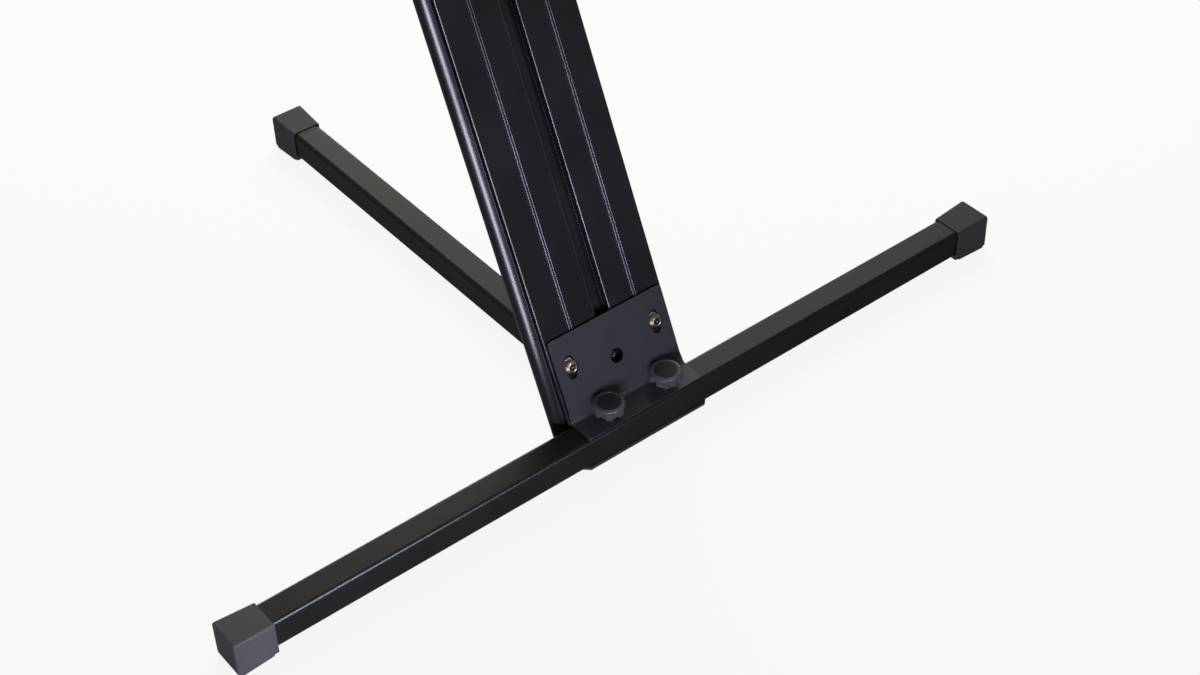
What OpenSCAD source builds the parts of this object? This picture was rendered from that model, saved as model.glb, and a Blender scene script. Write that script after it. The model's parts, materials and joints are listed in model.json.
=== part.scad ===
// Column keyboard stand: a folding three-foot base, a leaning extruded column and two tiers of arms.
// Millimetres, +Z up. The origin is on the floor under the middle of the whole stand.
// X runs along the crossbar, the arms reach towards -Y and the rear leg towards +Y.

/* [Base tubes] */
// Outside width of the square tube of the crossbar and the rear leg
tube_w = 32; // [30:0.5:34]
// Wall of the base tubes
tube_wall = 2; // [1.5:0.1:3]
// Outside corner radius of the base tubes
tube_corner = 4.5; // [3:0.5:6]
// Length of the crossbar over its rubber feet
crossbar_len = 952; // [800:1:1100]
// Reach of the rear foot's end behind the crossbar's centre line
leg_reach = 650; // [560:1:760]

/* [Rubber feet] */
// Length of a rubber foot along its tube
foot_len = 43.5; // [36:0.5:60]
// Width of a foot at its mouth
foot_mouth_w = 36; // [35:0.1:40]
// Width of a foot at its outer end
foot_end_w = 39.6; // [36:0.1:46]
// Rubber above the tube at the mouth
foot_mouth_rise = 1.2; // [0.8:0.1:3]
// Rubber above the tube at the outer end
foot_end_rise = 3.6; // [1:0.1:6]
// Height of the tube's underside above the floor
tube_lift = 6.7; // [6:0.1:10]
// Thickness of the sole step under the foot
sole_step = 1.6; // [1:0.1:3]
// Distance from the mouth to the sole step
sole_back = 5; // [3:0.5:10]
// Rubber beyond the end of the tube
foot_end_t = 5; // [3:0.5:10]
// Rounding of the foot's edges
foot_round = 2.6; // [1:0.1:3.5]

/* [Column] */
// Length of the column extrusion
column_len = 1219; // [1180:1:1400]
// Angle that the column leans back from upright
lean = 23.75; // [20:0.25:26]
// Width of the column's front face over its lips
face_w = 143; // [138:0.5:150]
// Width of the column over its rounded sides
column_w = 154; // [150:0.5:160]
// Depth of the column from front face to back
column_depth = 50; // [48:0.5:56]
// Radius of the rounded sides
side_r = 19.5; // [18:0.25:21]
// Depth of the rounded sides' centres behind the front face
side_depth = 27.5; // [26:0.25:30]
// Thickness of the front wall and its lips
lip_t = 3.5; // [3:0.1:4.5]
// Thickness of the column's other walls
wall_t = 2.4; // [2:0.1:3.4]
// Width of the open channel in the middle of the front
channel_w = 17.4; // [15:0.1:20]
// Depth of the channel
channel_depth = 9; // [8:0.25:12]
// Width of each pair of V grooves in the front
groove_w = 4.5; // [4:0.25:6]
// Width of a single V groove
vee_w = 1.7; // [1:0.1:1.9]
// Depth of the V grooves
groove_depth = 1.3; // [0.8:0.1:2]
// Distance between the two pairs of V grooves
groove_pitch = 80; // [60:1:90]
// Thickness of the top cap above the column's end
cap_t = 6; // [3:0.5:12]

/* [Crossbar bracket] */
// Thickness of the folded bracket plate
bracket_t = 3; // [2:0.1:4]
// Width of the upright part of the bracket
bracket_w = 141; // [130:0.5:143]
// Width of the flange on the crossbar
flange_w = 143; // [141:0.5:150]
// Height of the upright along the column
bracket_h = 90; // [84:1:110]
// Reach of the flange in front of the crossbar's centre line
flange_front = 14.7; // [12:0.1:16]
// Inside radius of the bend
bend_r = 4; // [3:0.25:6]
// Rounding of the bracket's corners
bracket_corner = 4; // [1:0.25:8]
// Distance between the two upright slots
slot_pitch = 106; // [98:1:112]
// Height of the slots' centres along the column
slot_t = 56; // [50:0.5:62]
// Width of the slots
slot_w = 10; // [9:0.25:12]
// Length of the slots from end to end
slot_len = 25; // [22:0.5:30]
// Diameter of the round hole in the middle of the bracket
access_d = 15; // [13:0.5:17]
// Height of the round hole along the column
access_t = 43.6; // [36:0.2:50]

/* [Crossbar knobs] */
// Distance between the two hand knobs
knob_pitch = 72; // [60:1:84]
// Diameter of a crossbar knob over its lobes
knob_d = 33; // [28:0.5:34]
// Height of a crossbar knob above its washer
knob_h = 18.4; // [16:0.2:24]
// Diameter of the studs of the crossbar knobs
stud_d = 8; // [6:1:10]
// Height that a crossbar knob climbs until its stud is free
knob_climb = 8; // [4:0.5:8]

/* [Base plate] */
// Thickness of the plate under the crossbar
plate_t = 3.2; // [2.5:0.1:4]
// Width of the plate under the crossbar
plate_w = 158; // [150:1:170]
// Reach of the plate in front of the crossbar's centre line
plate_front = 17.2; // [16:0.1:20]
// Length of the wide part behind the centre line
plate_wide_back = 26; // [20:0.5:40]
// Chamfer of the plate's corners
plate_corner = 6; // [2:0.5:10]

/* [Rear leg hinge] */
// Distance of the leg's pivot behind the column's back
pivot_standoff = 22.5; // [22:0.25:26]
// Thickness of the hinge brackets
hinge_t = 3.2; // [2.5:0.1:4]
// Height of the hinge brackets' flanges along the column
hinge_h = 62; // [58:1:76]
// Diameter of the leg's pivot bolt
pivot_d = 10; // [8:1:12]
// Distance from the pivot to the leg tube's front end
leg_overhang = 12; // [11.5:0.25:14]
// Diameter of the leg's clamp knob
leg_knob_d = 37; // [30:0.5:38]

/* [Tiers] */
// Height of the lower tier along the column
lower_t = 744; // [700:1:780]
// Height of the upper tier along the column
upper_t = 1050; // [1010:1:1100]
// Distance from the middle to the lower arms
lower_span = 168; // [160:1:190]
// Distance from the middle to the upper arms
upper_span = 125; // [115:1:128]
// Length of the lower arms from pivot to cap
lower_arm = 457; // [380:1:470]
// Length of the upper arms from pivot to cap
upper_arm = 330; // [250:1:380]
// Height of a carriage along the column
carriage_h = 120; // [110:1:130]
// Thickness of a carriage's front wall
carriage_t = 6; // [5:0.25:9]
// Gap between carriage and column, filled by the glides
glide_gap = 1.2; // [1:0.1:2]
// Thickness of the nylon glides
glide_t = 0.9; // [0.7:0.05:0.9]
// Width of a carriage's hooked tongues
tongue_w = 8.5; // [6:0.25:9]
// Width of the square beam across a carriage
beam_w = 30; // [26:0.5:34]
// Wall of the beam
beam_wall = 2; // [1.5:0.1:3]
// Height of the beam above the carriage's middle
beam_rise = 34; // [30:1:38]
// Drop of the clamp knob below the carriage's middle
clamp_drop = 28; // [24:1:32]
// Diameter of the clamp knobs
clamp_knob_d = 42; // [34:1:48]
// Diameter of the clamp studs
clamp_stud_d = 10; // [8:1:10]

/* [Arms] */
// Width of the square arm tube
arm_w = 25; // [22:0.5:28]
// Wall of the arm tube
arm_wall = 1.6; // [1.2:0.1:2.5]
// Distance of the arm pivots in front of the beam
arm_pivot_out = 22; // [21:0.25:28]
// Arm tube behind its pivot
arm_back = 12; // [11:0.25:13]
// Thickness of the saddle plates
saddle_t = 3; // [2.5:0.1:4]
// Length of the saddles in front of the pivot
saddle_len = 62; // [50:1:80]
// Diameter of the arm pivot bolts
arm_bolt_d = 8; // [6:1:8]
// Height of the front caps' lips above the arms
arm_lip_h = 30; // [16:1:45]
// Thickness of the rubber pads
pad_t = 4; // [2:0.25:6]

/* [Hidden] */
$fn = 48;

// Small clearances
eps = 0.01;
slip = 0.1;            // rubber or plastic on a tube
run_fit = 0.05;        // shaft in a bore, per side
bolt_play = 0.5;       // bolt in a clearance hole, per side
rest_gap = 0.3;        // between pieces that move past each other
side_gap = 0.4;        // between an arm and its saddle plates
end_gap = 0.5;         // between a stud or a plug and the end of its hole

// A whole turn, and the half angle between two corners of a hexagon
turn = 360;
hex_sides = 6;
hex_half = 30;

// Base
tube_r = tube_w / 2;
tube_mid = tube_lift + tube_r;
tube_top = tube_lift + tube_w;
flange_top = tube_top + bracket_t;
crossbar_tube_len = crossbar_len - 2 * foot_end_t;
foot_x = crossbar_len / 2 - foot_len;
plate_z = tube_lift - plate_t;
washer_t = 1.6;
washer_over = 11;
washer_d = stud_d + washer_over;
nut_over = 5;
nut_d = stud_d + nut_over;
nut_stand = 6;
nut_h = plate_t + nut_stand;
stud_low = plate_z + nut_h - knob_climb;

// Hand knobs, as shares of their height and radius
knob_lobes = 7;
neck_share = 0.38;
edge_share = 0.16;
shoulder_share = 0.2;
disc_share = 0.76;
bite_share = 0.33;
bite_out = 0.55;
bore_share = 0.7;
knob_ring_w = 0.5;
knob_ring_depth = 0.6;
knob_neck_in = 2;

// Column: local X across, local Y backwards from the front face, local Z up along the column
face_y = tube_r + run_fit;
sin_l = sin(lean);
cos_l = cos(lean);
face_r = face_w / 2;
side_x = column_w / 2 - side_r;
bead_out = 1.1;
bead_land = 0.7;
bead_h = 2.2;
slot_back = 12.6;
hook_x = face_r + bead_out + glide_gap;
tongue_gap = 3.3;
neck_x = hook_x - tongue_w - tongue_gap;
back_r = side_x - 2;
back_corner = 3;
cavity_x = side_x - side_r - 1.2;
cavity_front = channel_depth + wall_t;
cavity_back = column_depth - wall_t;
cavity_corner = 3;
plug_slip = 0.2;
foot_plug_h = 66;
foot_cut = 80;
cap_plug_h = 14;

// A point of the column, turned into the stand's own Y and Z
function col_y(t, y) = face_y + t * sin_l + y * cos_l;
function col_z(t, y) = tube_top + t * cos_l - y * sin_l;

// Back edge of the foot casting where it stands on the base plate, and the screws that hold it there
foot_back_t = (tube_lift - tube_top + column_depth * sin_l) / cos_l;
foot_back_y = col_y(foot_back_t, column_depth);
foot_screw_x = 46;
foot_screw_y = (tube_r + foot_back_y) / 2;
foot_screw_d = 6;
foot_screw_len = 12;
plate_tail_margin = 14;
plate_tail_x = foot_screw_x + plate_tail_margin;

// Centre of the bracket's bend, in column coordinates and in the stand's own
bend_out = bend_r + bracket_t;
bend_t = bend_out * (1 - sin_l) / cos_l;
bend_y = col_y(bend_t, -bend_out);
flare_rise = 10;

// Screws of the bracket: diameter, length, and head diameter, height and socket
side_screw_d = 8;
side_screw_len = 17;
side_head_d = 16.2;
side_head_h = 4.6;
side_socket = 6;
slot_washer_play = 0.4;
slot_washer_short = 7.8;
slot_washer_up = 1.1;
centre_screw_d = 6;
centre_screw_len = 20;
centre_head_d = 12;
centre_head_h = 4.4;
centre_socket = 5;
head_rim = 0.8;
socket_depth = 2.6;

// Rear leg hinge, in column coordinates and in the stand's own
pivot_back = column_depth + pivot_standoff;
pivot_t = ((tube_mid - tube_top) + pivot_back * sin_l) / cos_l;
pivot_y = face_y + pivot_t * sin_l + pivot_back * cos_l;
hinge_clear = 1.2;
hinge_x = tube_r + hinge_clear;
hinge_out = hinge_x + hinge_t;
hinge_flange = 30;
hinge_screw_d = 6;
hinge_screw_len = 16;
hinge_head_d = 11;
hinge_head_h = 3.4;
hinge_socket = 4;
hinge_screw_in = 13;
hinge_screw_x = hinge_x + hinge_screw_in;
hinge_screw_top = 8;
hinge_screw_pitch = 20;
hinge_screw_t = [hinge_h - hinge_screw_top - hinge_screw_pitch, hinge_h - hinge_screw_top];
cheek_r = 15;
cheek_top = 9;
bush_flange_t = 1;
bush_flange_d = pivot_d + 12;
bush_d = pivot_d + 4;
bush_len = 6;
leg_front = pivot_y - leg_overhang;
leg_tube_len = leg_reach - foot_end_t - leg_front;
leg_washer_d = pivot_d + 12;
leg_washer_t = 2;
leg_knob_x = hinge_out + leg_washer_t;
leg_knob_h = 24;
leg_insert_d = pivot_d + 4;
leg_insert_h = 14;
pivot_flats = 16;
pivot_head_h = 6.4;

// Tiers, index 0 is the lower one
tier_t = [lower_t, upper_t];
tier_span = [lower_span, upper_span];
tier_arm = [lower_arm, upper_arm];
hook_t = 4;
tongue_y = lip_t + glide_gap;
tongue_t = 2.6;
carriage_front = -(glide_gap + carriage_t);
carriage_corner = 3;
beam_front = carriage_front - beam_w;
beam_corner = 3;
beam_over = 20;
beam_plug_h = 12;
beam_plug_flange = 3;
arm_r = arm_w / 2;
arm_corner = 3;
arm_pivot_y = beam_front - arm_pivot_out;
arm_flats = 13;
arm_head_h = 5.3;
arm_nut_h = 6.5;
arm_bolt_over = 2;
saddle_x = arm_r + side_gap;
saddle_out = saddle_x + saddle_t;
saddle_floor_back = arm_r + 9;
saddle_top = arm_r + 3;
shoe_w = channel_w - 2;
shoe_t = 4.4;
shoe_h = 34;
boss_d = clamp_stud_d + 12;
boss_len = 10;
clamp_knob_h = 24;
clamp_gap = 1.5;
clamp_knob_y = carriage_front - boss_len - clamp_gap;
clamp_tip_y = channel_depth - shoe_t - 2 * slip;
lip_thick = 8;
lip_corner = 7;
lip_over = 2;
cap_plug = 20;
rear_flange = 1.5;
pad_margin = 2.5;
pad_w = arm_w - 2 * pad_margin;
pad_gap = 14;
pad_start = saddle_len + pad_gap;
pad_end_gap = 6;
pad_edge = 1.5;

// Front and back of the whole stand, which set the origin half way between them
arm_tip_y = col_y(lower_t + beam_rise, arm_pivot_y) - lower_arm - lip_thick;
mid_y = (arm_tip_y + leg_reach) / 2;

// Colours
c_tube = "#2b2b2b";
c_column = "#232325";
c_plate = "#303034";
c_rubber = "#3c3d3f";
c_plastic = "#1c1c1e";
c_steel = "#b9bbbd";
c_zinc = "#b89a4e";
c_nylon = "#d9d7cf";

// Places a piece from the floor point under the crossbar's middle
module on_base() {
    translate([0, -mid_y, 0]) children();
}

// Places a piece in the column's leaning frame, t along the column
module on_column(t = 0) {
    on_base() translate([0, face_y, tube_top]) rotate([-lean, 0, 0]) translate([0, 0, t]) children();
}

// Extrudes a profile drawn in Y and Z along X, centred
module along_x(w) {
    rotate([90, 0, 90]) translate([0, 0, -w / 2]) linear_extrude(w) children();
}

module rounded_rect(w, h, r) {
    square([w, h - 2 * r], center = true);
    square([w - 2 * r, h], center = true);
    for (x = [-1, 1], y = [-1, 1]) translate([x * (w / 2 - r), y * (h / 2 - r)]) circle(r);
}

module rounded_square(w, r) {
    rounded_rect(w, w, r);
}

module slot_shape(w, len) {
    square([w, len - w], center = true);
    for (y = [-1, 1]) translate([0, y * (len - w) / 2]) circle(w / 2);
}

// Square tube along Z
module square_tube(w, wall, r, len) {
    linear_extrude(len) difference() {
        rounded_square(w, r);
        rounded_square(w - 2 * wall, max(r - wall, 0.8));
    }
}

// A smooth run of points round a centre, from one angle to another
function arc(cx, cy, r, from, to, n = 6) =
    [for (i = [0:n]) let (a = from + (to - from) * i / n) [cx + r * cos(a), cy + r * sin(a)]];

// Hex-socket button-head screw along Z, its head above z = 0 and its shank below
module button_screw(head_d, head_h, socket, shank_d, shank_len) {
    crown = head_h - head_rim;
    crown_r = (head_d * head_d / 4 + crown * crown) / (2 * crown);
    half = asin(head_d / 2 / crown_r);
    difference() {
        rotate_extrude() polygon(concat([[0, 0], [head_d / 2, 0]],
            arc(0, head_h - crown_r, crown_r, 90 - half, 90, 10)));
        translate([0, 0, head_h - socket_depth])
            cylinder(d = socket / cos(hex_half), h = head_h, $fn = hex_sides);
    }
    translate([0, 0, -shank_len]) cylinder(d = shank_d, h = shank_len);
}

// Hex bolt along Z, its head above z = 0 and its shank below
module hex_bolt(flats, head_h, shank_d, shank_len) {
    cylinder(d = flats / cos(hex_half), h = head_h, $fn = hex_sides);
    translate([0, 0, -shank_len]) cylinder(d = shank_d, h = shank_len);
}

// Ring along Z
module ring(outer_d, inner_d, h) {
    difference() {
        cylinder(d = outer_d, h = h);
        translate([0, 0, -eps]) cylinder(d = inner_d, h = h + 2 * eps);
    }
}

// Lobed hand knob standing on z = 0, with a blind bore from below
module hand_knob(d, h, neck_d, bore_d, bore_depth) {
    r = d / 2;
    neck_h = neck_share * h;
    edge = edge_share * h;
    shoulder = shoulder_share * r;
    disc_r = disc_share * r;
    bite_r = bite_share * r;
    bite_at = r + bite_out * bite_r;
    difference() {
        rotate_extrude() polygon(concat(
            [[0, 0], [neck_d / 2, 0], [neck_d / 2, neck_h]],
            arc(r - edge, neck_h + edge, edge, -90, 0),
            arc(r - shoulder, h - 1.4 * shoulder, shoulder, 0, 55),
            [[disc_r + 1, h], [0, h]]));
        for (i = [0:knob_lobes - 1]) rotate([0, 0, turn * (i + 0.5) / knob_lobes])
            translate([bite_at, 0, -eps]) cylinder(r = bite_r, h = h + 1);
        translate([0, 0, h - knob_ring_depth])
            ring(2 * disc_r, 2 * (disc_r - knob_ring_w), 2 * knob_ring_depth);
        translate([0, 0, -eps]) cylinder(d = bore_d, h = bore_depth);
    }
}

// Rubber foot along +X from its mouth at x = 0, standing on z = 0
module rubber_foot() {
    mouth_r = 1.2;
    inset = 0.6;
    sole_corner = 4;
    sole_end = foot_len - foot_round;
    near = foot_mouth_w / 2 - inset;
    far = foot_end_w / 2 - inset;
    module balls(x, half, high, r) {
        for (y = [-1, 1], z = [sole_step + r, high - r])
            translate([x, y * (half - r), z]) sphere(r, $fn = 16);
    }
    difference() {
        hull() {
            balls(mouth_r, foot_mouth_w / 2, tube_top + foot_mouth_rise, mouth_r);
            balls(foot_len - foot_round, foot_end_w / 2, tube_top + foot_end_rise, foot_round);
        }
        translate([-1, -tube_r - slip, tube_lift - slip])
            cube([foot_len - foot_end_t + 1, tube_w + 2 * slip, tube_w + 2 * slip]);
    }
    linear_extrude(sole_step + 1) polygon(concat([[sole_back, near], [sole_back, -near]],
        arc(sole_end - sole_corner, sole_corner - far, sole_corner, 270, 360),
        arc(sole_end - sole_corner, far - sole_corner, sole_corner, 0, 90)));
}

module crossbar_tube() {
    color(c_tube) on_base() difference() {
        translate([-crossbar_tube_len / 2, 0, tube_mid]) rotate([0, 90, 0])
            square_tube(tube_w, tube_wall, tube_corner, crossbar_tube_len);
        for (x = [-1, 1]) translate([x * knob_pitch / 2, 0, 0]) {
            translate([0, 0, tube_mid]) cylinder(d = stud_d + 2 * bolt_play, h = tube_w);
            cylinder(d = nut_d + 2 * bolt_play, h = tube_mid);
        }
    }
}

module crossbar_foot_right() {
    color(c_rubber) on_base() translate([foot_x, 0, 0]) rubber_foot();
}

module crossbar_foot_left() {
    color(c_rubber) on_base() mirror([1, 0, 0]) translate([foot_x, 0, 0]) rubber_foot();
}

module base_plate() {
    half = plate_w / 2;
    c = plate_corner;
    side = [[half - c, -plate_front], [half, c - plate_front], [half, plate_wide_back - c],
        [half - c, plate_wide_back], [plate_tail_x, plate_wide_back + c], [plate_tail_x, foot_back_y]];
    back = [for (i = [len(side) - 1:-1:0]) [-side[i][0], side[i][1]]];
    color(c_plate) on_base() difference() {
        translate([0, 0, plate_z]) linear_extrude(plate_t) polygon(concat(side, back));
        for (x = [-1, 1]) {
            translate([x * knob_pitch / 2, 0, 0]) cylinder(d = nut_d + 2 * run_fit, h = tube_mid);
            translate([x * foot_screw_x, foot_screw_y, plate_z - eps]) {
                cylinder(d = foot_screw_d + 2 * bolt_play, h = plate_t + 2 * eps);
                cylinder(d1 = 2 * (foot_screw_d + slip), d2 = foot_screw_d + 2 * slip, h = foot_screw_d / 2);
            }
        }
    }
}

module clinch_nuts() {
    color(c_steel) on_base() for (x = [-1, 1]) translate([x * knob_pitch / 2, 0, plate_z])
        ring(nut_d, stud_d + 2 * run_fit, nut_h);
}

module column_foot_screws() {
    head = foot_screw_d / 2;
    color(c_steel) on_base() for (x = [-1, 1]) translate([x * foot_screw_x, foot_screw_y, plate_z]) {
        cylinder(d1 = 2 * foot_screw_d, d2 = foot_screw_d, h = head);
        cylinder(d = foot_screw_d, h = plate_t + foot_screw_len);
    }
}

module crossbar_bracket() {
    flare_t = bend_t + flare_rise;
    c = bracket_corner;
    w = bracket_w / 2;
    f = flange_w / 2;
    color(c_plate) {
        on_base() difference() {
            translate([0, 0, tube_top]) linear_extrude(bracket_t) polygon(concat(
                [[f, bend_y], [-f, bend_y]],
                arc(c - f, c - flange_front, c, 180, 270),
                arc(f - c, c - flange_front, c, 270, 360)));
            for (x = [-1, 1]) translate([x * knob_pitch / 2, 0, tube_mid])
                cylinder(d = stud_d + 2 * bolt_play, h = tube_w);
        }
        on_base() translate([0, bend_y, tube_top + bend_out]) along_x(flange_w)
            polygon(concat(arc(0, 0, bend_out, -90, -lean, 10), arc(0, 0, bend_r, -lean, -90, 10)));
        on_column() rotate([90, 0, 0]) linear_extrude(bracket_t) difference() {
            polygon(concat([[-w, flare_t], [-f, bend_t], [f, bend_t], [w, flare_t]],
                arc(w - c, bracket_h - c, c, 0, 90), arc(c - w, bracket_h - c, c, 90, 180)));
            for (x = [-1, 1]) translate([x * slot_pitch / 2, slot_t]) slot_shape(slot_w, slot_len);
            translate([0, access_t]) circle(d = access_d);
        }
    }
}

module bracket_side_screws() {
    color(c_steel) on_column(slot_t) for (x = [-1, 1]) translate([x * slot_pitch / 2, -bracket_t, 0])
        rotate([90, 0, 0]) button_screw(side_head_d, side_head_h, side_socket, side_screw_d, side_screw_len);
}

module bracket_slot_washers() {
    washer_len = slot_len - slot_washer_short;
    color(c_zinc) on_column(slot_t) for (x = [-1, 1]) translate([x * slot_pitch / 2, 0, 0])
        rotate([90, 0, 0]) linear_extrude(0.5 * bracket_t) difference() {
            translate([0, slot_washer_up]) slot_shape(slot_w - slot_washer_play, washer_len);
            circle(d = side_screw_d + 2 * run_fit);
        }
}

module bracket_centre_screw() {
    color(c_plastic) on_column(access_t) translate([0, channel_depth, 0]) rotate([90, 0, 0])
        button_screw(centre_head_d, centre_head_h, centre_socket, centre_screw_d, centre_screw_len);
}

// Front strip with a bead along each lip: the bead stands out sideways, and its land slopes back from the face
module front_strip() {
    out = face_r + bead_out;
    polygon([[bead_land - out, 0], [out - bead_land, 0], [out, bead_out], [out, bead_h], [face_r, bead_h],
        [face_r, lip_t], [-face_r, lip_t], [-face_r, bead_h], [-out, bead_h], [-out, bead_out]]);
}

// The part of a side's round that lies behind a depth, measured from the front face
module side_round(r, from_y) {
    intersection() {
        translate([0, side_depth]) circle(r, $fn = 96);
        translate([-r, from_y]) square([2 * r, column_depth]);
    }
}

// Outer outline of the column without its channel, X across and Y backwards
module column_outline() {
    front_strip();
    translate([-neck_x, lip_t / 2]) square([2 * neck_x, side_depth - lip_t / 2]);
    for (x = [-1, 1]) {
        translate([x * side_x, 0]) side_round(side_r, slot_back);
        translate([x * (back_r - back_corner), column_depth - back_corner]) circle(back_corner);
    }
    behind = column_depth - side_depth;
    translate([-back_r, side_depth]) square([2 * back_r, behind - back_corner]);
    translate([back_corner - back_r, side_depth]) square([2 * (back_r - back_corner), behind]);
}

module column_section() {
    difference() {
        column_outline();
        translate([-channel_w / 2, -eps]) square([channel_w, channel_depth + eps]);
        for (x = [-1, 1]) {
            for (g = [-1, 1]) translate([x * groove_pitch / 2 + g * (groove_w - vee_w) / 2, 0])
                polygon([[-vee_w / 2, -eps], [vee_w / 2, -eps], [0, groove_depth]]);
            translate([x * side_x, 0]) side_round(side_r - wall_t, slot_back + wall_t);
        }
        difference() {
            translate([0, (lip_t + cavity_back) / 2])
                rounded_rect(2 * cavity_x, cavity_back - lip_t, cavity_corner);
            translate([-channel_w / 2 - wall_t, 0]) square([channel_w + 2 * wall_t, cavity_front]);
        }
    }
}

module column_plug() {
    translate([0, (cavity_front + cavity_back) / 2]) rounded_rect(2 * (cavity_x - plug_slip),
        cavity_back - cavity_front - 2 * plug_slip, cavity_corner);
}

module column_extrusion() {
    color(c_column) difference() {
        on_column() linear_extrude(column_len) column_section();
        on_column(slot_t) for (x = [-1, 1]) translate([x * slot_pitch / 2, side_depth, 0])
            rotate([90, 0, 0]) cylinder(d = side_screw_d + 2 * run_fit, h = side_depth + 1);
        on_column(access_t) translate([0, side_depth, 0])
            rotate([90, 0, 0]) cylinder(d = centre_screw_d + 2 * run_fit, h = side_depth + 1);
        on_column() hinge_screw_holes(hinge_screw_d + 2 * run_fit);
    }
}

module column_foot() {
    color(c_plastic) difference() {
        on_column() {
            translate([0, 0, -foot_cut]) linear_extrude(foot_cut) column_outline();
            linear_extrude(foot_plug_h) column_plug();
        }
        on_base() {
            translate([-column_w, -column_w, tube_lift - column_w])
                cube([2 * column_w, 3 * column_w, column_w]);
            translate([-column_w, -column_w, -eps])
                cube([2 * column_w, column_w + tube_r + slip, tube_top + eps]);
            for (x = [-1, 1]) translate([x * foot_screw_x, foot_screw_y, 0])
                cylinder(d = foot_screw_d + 2 * run_fit, h = plate_z + plate_t + foot_screw_len + 1);
        }
        on_column(access_t) translate([0, column_depth, 0])
            rotate([90, 0, 0]) cylinder(d = centre_screw_d + 2 * run_fit, h = column_depth);
        on_column() hinge_screw_holes(hinge_screw_d + 2 * run_fit);
    }
}

module column_top_cap() {
    color(c_plastic) on_column(column_len) {
        linear_extrude(cap_t) {
            column_outline();
            translate([-face_r, 0]) square([face_w, side_depth]);
        }
        translate([0, 0, -cap_plug_h]) linear_extrude(cap_plug_h + eps) column_plug();
    }
}

// Bores for the screws of the hinge brackets, in column coordinates
module hinge_screw_holes(d) {
    for (x = [-1, 1], t = hinge_screw_t) translate([x * hinge_screw_x, column_depth + hinge_t + 1, t])
        rotate([90, 0, 0]) cylinder(d = d, h = hinge_screw_len + 2);
}

// Right-hand hinge bracket in column coordinates: a flange on the back and a cheek beside the leg
module leg_hinge() {
    top_y = column_depth + cheek_top;
    rise = hinge_h - pivot_t;
    run = top_y - pivot_back;
    touch = atan2(rise, run) - acos(cheek_r / norm([rise, run]));
    cheek_low = pivot_t - cheek_r;
    difference() {
        union() {
            translate([hinge_x, column_depth, 0]) cube([hinge_flange, hinge_t, hinge_h]);
            translate([hinge_x + hinge_t / 2, 0, 0]) along_x(hinge_t) {
                polygon([[column_depth, max(cheek_low, 0)], [pivot_back, max(cheek_low, 0)],
                    [pivot_back, cheek_low],
                    [pivot_back + cheek_r * cos(touch), pivot_t + cheek_r * sin(touch)],
                    [top_y, hinge_h], [column_depth, hinge_h]]);
                translate([pivot_back, pivot_t]) circle(cheek_r);
            }
        }
        translate([0, pivot_back, pivot_t]) rotate([0, 90, 0])
            cylinder(d = pivot_d + 2 * run_fit, h = hinge_x + 2 * hinge_t);
        hinge_screw_holes(hinge_screw_d + 2 * run_fit);
    }
}

module leg_hinge_right() {
    color(c_plate) on_column() leg_hinge();
}

module leg_hinge_left() {
    color(c_plate) on_column() mirror([1, 0, 0]) leg_hinge();
}

module leg_hinge_screws() {
    color(c_steel) on_column() for (x = [-1, 1], t = hinge_screw_t)
        translate([x * hinge_screw_x, column_depth + hinge_t, t]) rotate([-90, 0, 0])
            button_screw(hinge_head_d, hinge_head_h, hinge_socket, hinge_screw_d, hinge_screw_len);
}

// Places a piece at the rear leg's pivot
module at_leg_pivot() {
    on_base() translate([0, pivot_y, tube_mid]) children();
}

module leg_pivot_bolt() {
    color(c_steel) at_leg_pivot() translate([-hinge_out, 0, 0]) rotate([0, -90, 0])
        hex_bolt(pivot_flats, pivot_head_h, pivot_d, hinge_out + leg_knob_x + leg_insert_h);
}

module rear_leg_tube() {
    color(c_tube) on_base() difference() {
        translate([0, leg_front, tube_mid]) rotate([-90, 0, 0])
            square_tube(tube_w, tube_wall, tube_corner, leg_tube_len);
        translate([-tube_w, pivot_y, tube_mid]) rotate([0, 90, 0])
            cylinder(d = bush_d + 2 * run_fit, h = 2 * tube_w);
    }
}

module rear_leg_foot() {
    color(c_rubber) on_base() rotate([0, 0, 90]) translate([leg_reach - foot_len, 0, 0]) rubber_foot();
}

module rear_leg_plug() {
    inner = tube_w - 2 * tube_wall - 2 * slip;
    flange = tube_w - 4;
    flange_t = 2;
    depth = leg_overhang - bush_d / 2 - end_gap;
    color(c_plastic) on_base() translate([0, leg_front, tube_mid]) rotate([-90, 0, 0]) {
        linear_extrude(depth) rounded_square(inner, tube_corner - tube_wall);
        translate([0, 0, -flange_t]) linear_extrude(flange_t) rounded_square(flange, tube_corner);
    }
}

module leg_bushes() {
    color(c_nylon) at_leg_pivot() for (x = [0, 1]) mirror([x, 0, 0]) rotate([0, 90, 0]) difference() {
        union() {
            translate([0, 0, tube_r - bush_len]) cylinder(d = bush_d, h = bush_len);
            translate([0, 0, tube_r]) cylinder(d = bush_flange_d, h = bush_flange_t);
        }
        cylinder(d = pivot_d + 2 * run_fit, h = tube_w);
    }
}

module leg_clamp_washer() {
    color(c_steel) at_leg_pivot() translate([hinge_out, 0, 0]) rotate([0, 90, 0])
        ring(leg_washer_d, pivot_d + 2 * bolt_play, leg_washer_t);
}

module leg_clamp_knob() {
    color(c_plastic) at_leg_pivot() translate([leg_knob_x, 0, 0]) rotate([0, 90, 0])
        hand_knob(leg_knob_d, leg_knob_h, leg_washer_d - knob_neck_in, leg_insert_d + 2 * run_fit,
            leg_insert_h + 2 * end_gap);
}

module leg_clamp_insert() {
    color(c_zinc) at_leg_pivot() translate([leg_knob_x, 0, 0]) rotate([0, 90, 0])
        ring(leg_insert_d, pivot_d + 2 * run_fit, leg_insert_h);
}

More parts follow.
